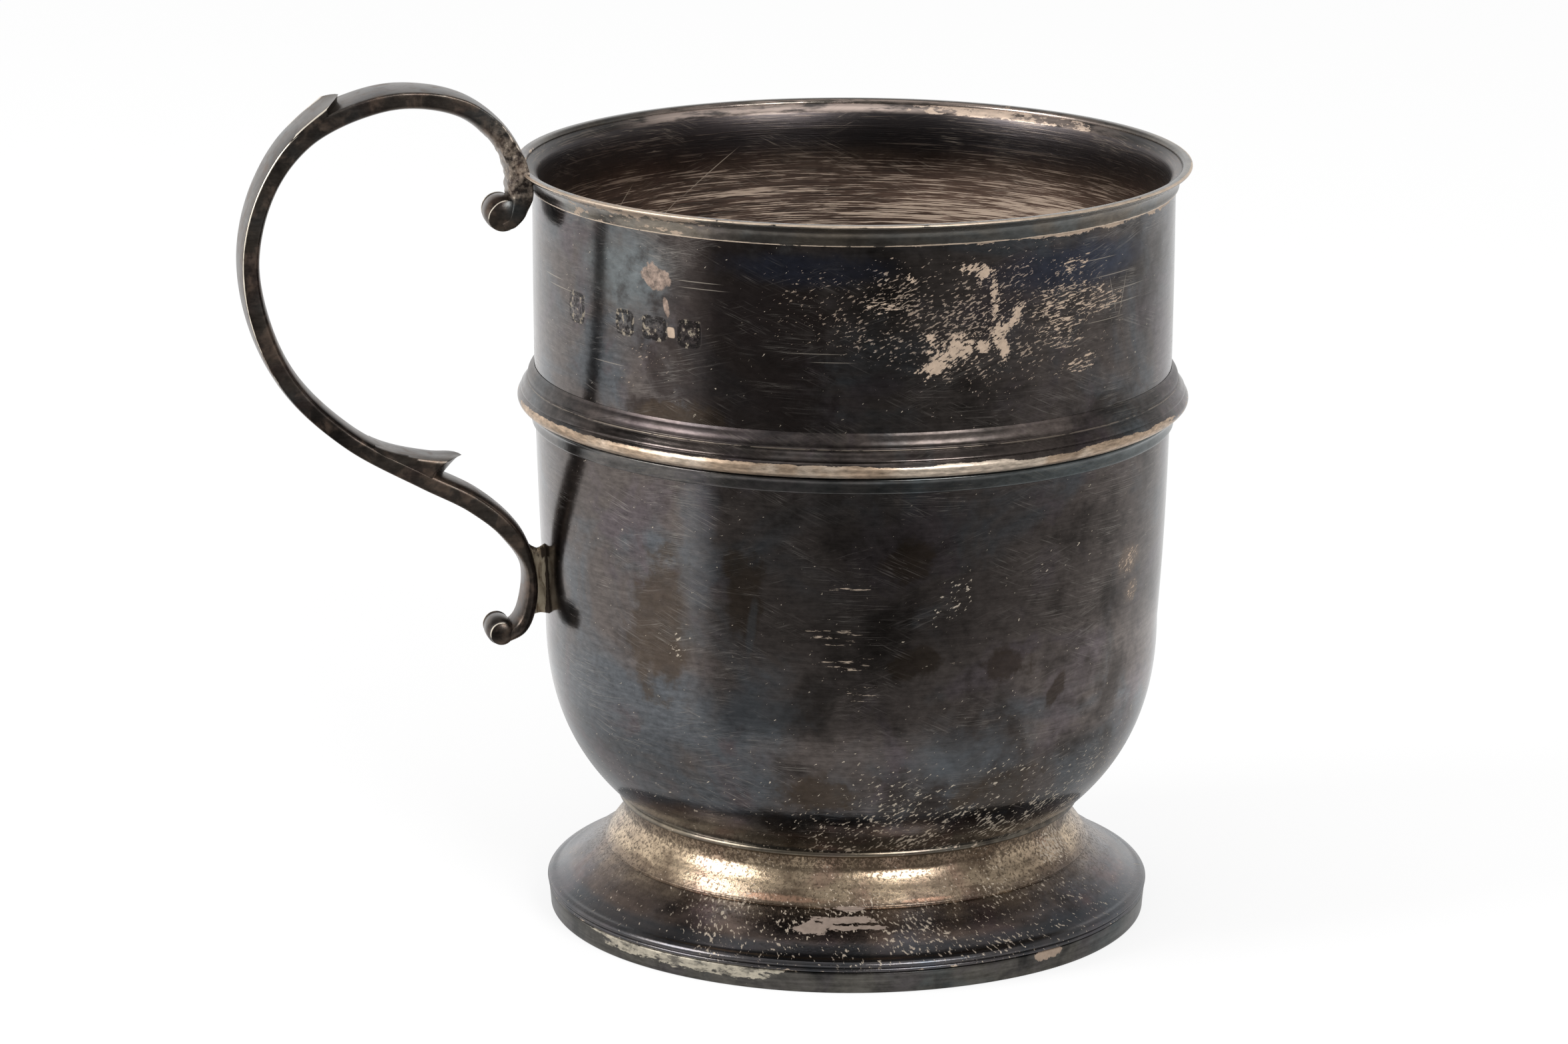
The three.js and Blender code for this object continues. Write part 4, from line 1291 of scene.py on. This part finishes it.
# Camera, where the photograph was taken from
view = {
    "place": (-122.05, -618.7, 207.9),  # mm
    "turn": 12.5,  # degrees that the mug stands turned from the camera's own way
    "tilt": 0.2532,  # radians, as pan and roll
    "pan": -0.0119,
    "roll": 0.0033,
    "sensor": 36,
    "focalWidths": 8795.04 / 2355,  # focal length in widths of the photograph
}


def turnedBack(way):
    angle = math.radians(view["turn"])
    return Vector((way.x * math.cos(angle) + way.y * math.sin(angle),
                   -way.x * math.sin(angle) + way.y * math.cos(angle), way.z))


def addCamera():
    pan, tilt, roll = view["pan"], view["tilt"], view["roll"]
    ahead = Vector((math.sin(pan) * math.cos(tilt), math.cos(pan) * math.cos(tilt), -math.sin(tilt)))
    level = Vector((math.cos(pan), -math.sin(pan), 0))
    over = level.cross(ahead)
    right = level * math.cos(roll) + over * math.sin(roll)
    up = over * math.cos(roll) - level * math.sin(roll)
    ahead, right, up = [turnedBack(way) for way in (ahead, right, up)]
    camera = bpy.data.objects.new("camera", bpy.data.cameras.new("camera"))
    camera.data.sensor_width = view["sensor"]
    camera.data.lens = view["focalWidths"] * view["sensor"]
    camera.data.clip_start = 0.01
    camera.data.clip_end = 50
    pose = Matrix((right, up, -ahead)).transposed().to_4x4()
    pose.translation = Vector(view["place"]) * mm
    camera.matrix_world = pose
    scene.collection.objects.link(camera)
    scene.camera = camera


# Surroundings. The metal shows a white studio on its left, a darker room in front and a paler
# one to its right; the eye sees plain white.
surroundings = {
    "front": (-0.2164, -0.9763, 0),  # the camera's side, and its right
    "right": (0.9763, -0.2164, 0),
    "levels": [(-180, 1.05), (-62, 1.05), (-50, 0.24), (-20, 0.2), (10, 0.13), (45, 0.24), (60, 0.32),
               (85, 0.45), (110, 0.65), (150, 0.85), (180, 1.0)],  # degrees from the front, brightness
    "upper": (0.36, 0.3, 0.6),  # brightness above, and between which heights it sets in
    "ceiling": (0.9, 0.85, 0.97),
    "fill": 0.75,
    "paper": 0.26,  # the floor
    "paperGlow": 0.75,
    "glowInMetal": 0.35,
    "floorInMetal": (0.045, 0.1),  # m from the axis between which the metal stops seeing the floor
    "floorReach": 2.5,
    "lamps": [("left lamp", (-0.83, -0.12, 0.44), 0.9, 0.4, 4.2),  # way, distance and size in m, power
              ("right lamp", (0.25, -0.84, 0.47), 0.9, 0.36, 3.8)],
}


def addWorld():
    world = bpy.data.worlds.new("studio")
    world.use_nodes = True
    scene.world = world
    tree = world.node_tree
    way = allFrom(put(tree, "ShaderNodeTexCoord"))["Generated"]
    ahead = vectorCalc("DOT_PRODUCT", way, surroundings["front"])
    aside = vectorCalc("DOT_PRODUCT", way, surroundings["right"])
    turn = calc("DEGREES", calc("ARCTAN2", aside, ahead)) * (1 / 360) + 0.5
    ramp = put(tree, "ShaderNodeValToRGB", {0: turn})
    stops = ramp.color_ramp.elements
    levels = surroundings["levels"]
    for stop, (angle, level) in ((stops[0], levels[0]), (stops[1], levels[-1])):
        stop.position = angle / 360 + 0.5
        stop.color = (level, level, level, 1)
    for angle, level in levels[1:-1]:
        stops.new(angle / 360 + 0.5).color = (level, level, level, 1)
    _, _, height = parted(way)
    seen = Reading(ramp.outputs[0])
    for level, low, high in (surroundings["upper"], surroundings["ceiling"]):
        seen = blend(fade(height, low, high), seen, (level, level, level))
    rays = allFrom(put(tree, "ShaderNodeLightPath"))
    fill = surroundings["fill"]
    colour = blend(rays["Is Glossy Ray"], (fill, fill, fill), seen)
    feed(blend(rays["Is Camera Ray"], colour, (1, 1, 1)), tree.nodes["Background"].inputs["Color"])
    tree.nodes["Background"].inputs["Strength"].default_value = 1.0


def addFloor():
    # White to the eye, with the mug's soft shadow. The metal sees only the floor close to it.
    reach = surroundings["floorReach"]
    corners = [(-reach, -reach, 0), (reach, -reach, 0), (reach, reach, 0), (-reach, reach, 0)]
    mesh = bpy.data.meshes.new("floor")
    mesh.from_pydata(corners, [], [(0, 1, 2, 3)])
    floor = bpy.data.objects.new("floor", mesh)
    scene.collection.objects.link(floor)
    material = bpy.data.materials.new("floor, white paper")
    material.use_nodes = True
    tree = material.node_tree
    tree.nodes.remove(tree.nodes["Principled BSDF"])
    grey, glow = surroundings["paper"], surroundings["paperGlow"]
    inMetal = allFrom(put(tree, "ShaderNodeLightPath"))["Is Glossy Ray"]
    dimmed = glow - inMetal * (glow - surroundings["glowInMetal"])
    paper = put(tree, "ShaderNodeBsdfDiffuse", {"Color": (grey, grey, grey)})
    light = put(tree, "ShaderNodeEmission", {"Color": (1, 1, 1), "Strength": dimmed})
    spot = vectorCalc("SUBTRACT", allFrom(put(tree, "ShaderNodeTexCoord"))["Object"], (axisX * mm, 0, 0))
    clear = inMetal * fade(vectorCalc("LENGTH", spot), *surroundings["floorInMetal"])
    both = put(tree, "ShaderNodeAddShader")
    hole = put(tree, "ShaderNodeBsdfTransparent")
    choose = put(tree, "ShaderNodeMixShader", {0: clear})
    for made, socket in ((paper, both.inputs[0]), (light, both.inputs[1]), (both, choose.inputs[1]),
                         (hole, choose.inputs[2]), (choose, tree.nodes["Material Output"].inputs["Surface"])):
        tree.links.new(made.outputs[0], socket)
    mesh.materials.append(material)


def addLamp(name, way, distance, size, power):
    # A soft square lamp that looks at the mug's middle from that way.
    lamp = bpy.data.lights.new(name, "AREA")
    lamp.size = size
    lamp.energy = power
    holder = bpy.data.objects.new(name, lamp)
    way = Vector(way).normalized()
    holder.location = Vector((axisX, 0, 40)) * mm + way * distance
    holder.rotation_euler = way.to_track_quat("Z", "Y").to_euler()
    scene.collection.objects.link(holder)


addCamera()
addWorld()
addFloor()
for lamp in surroundings["lamps"]:
    addLamp(*lamp)
print("stage: camera and light set")
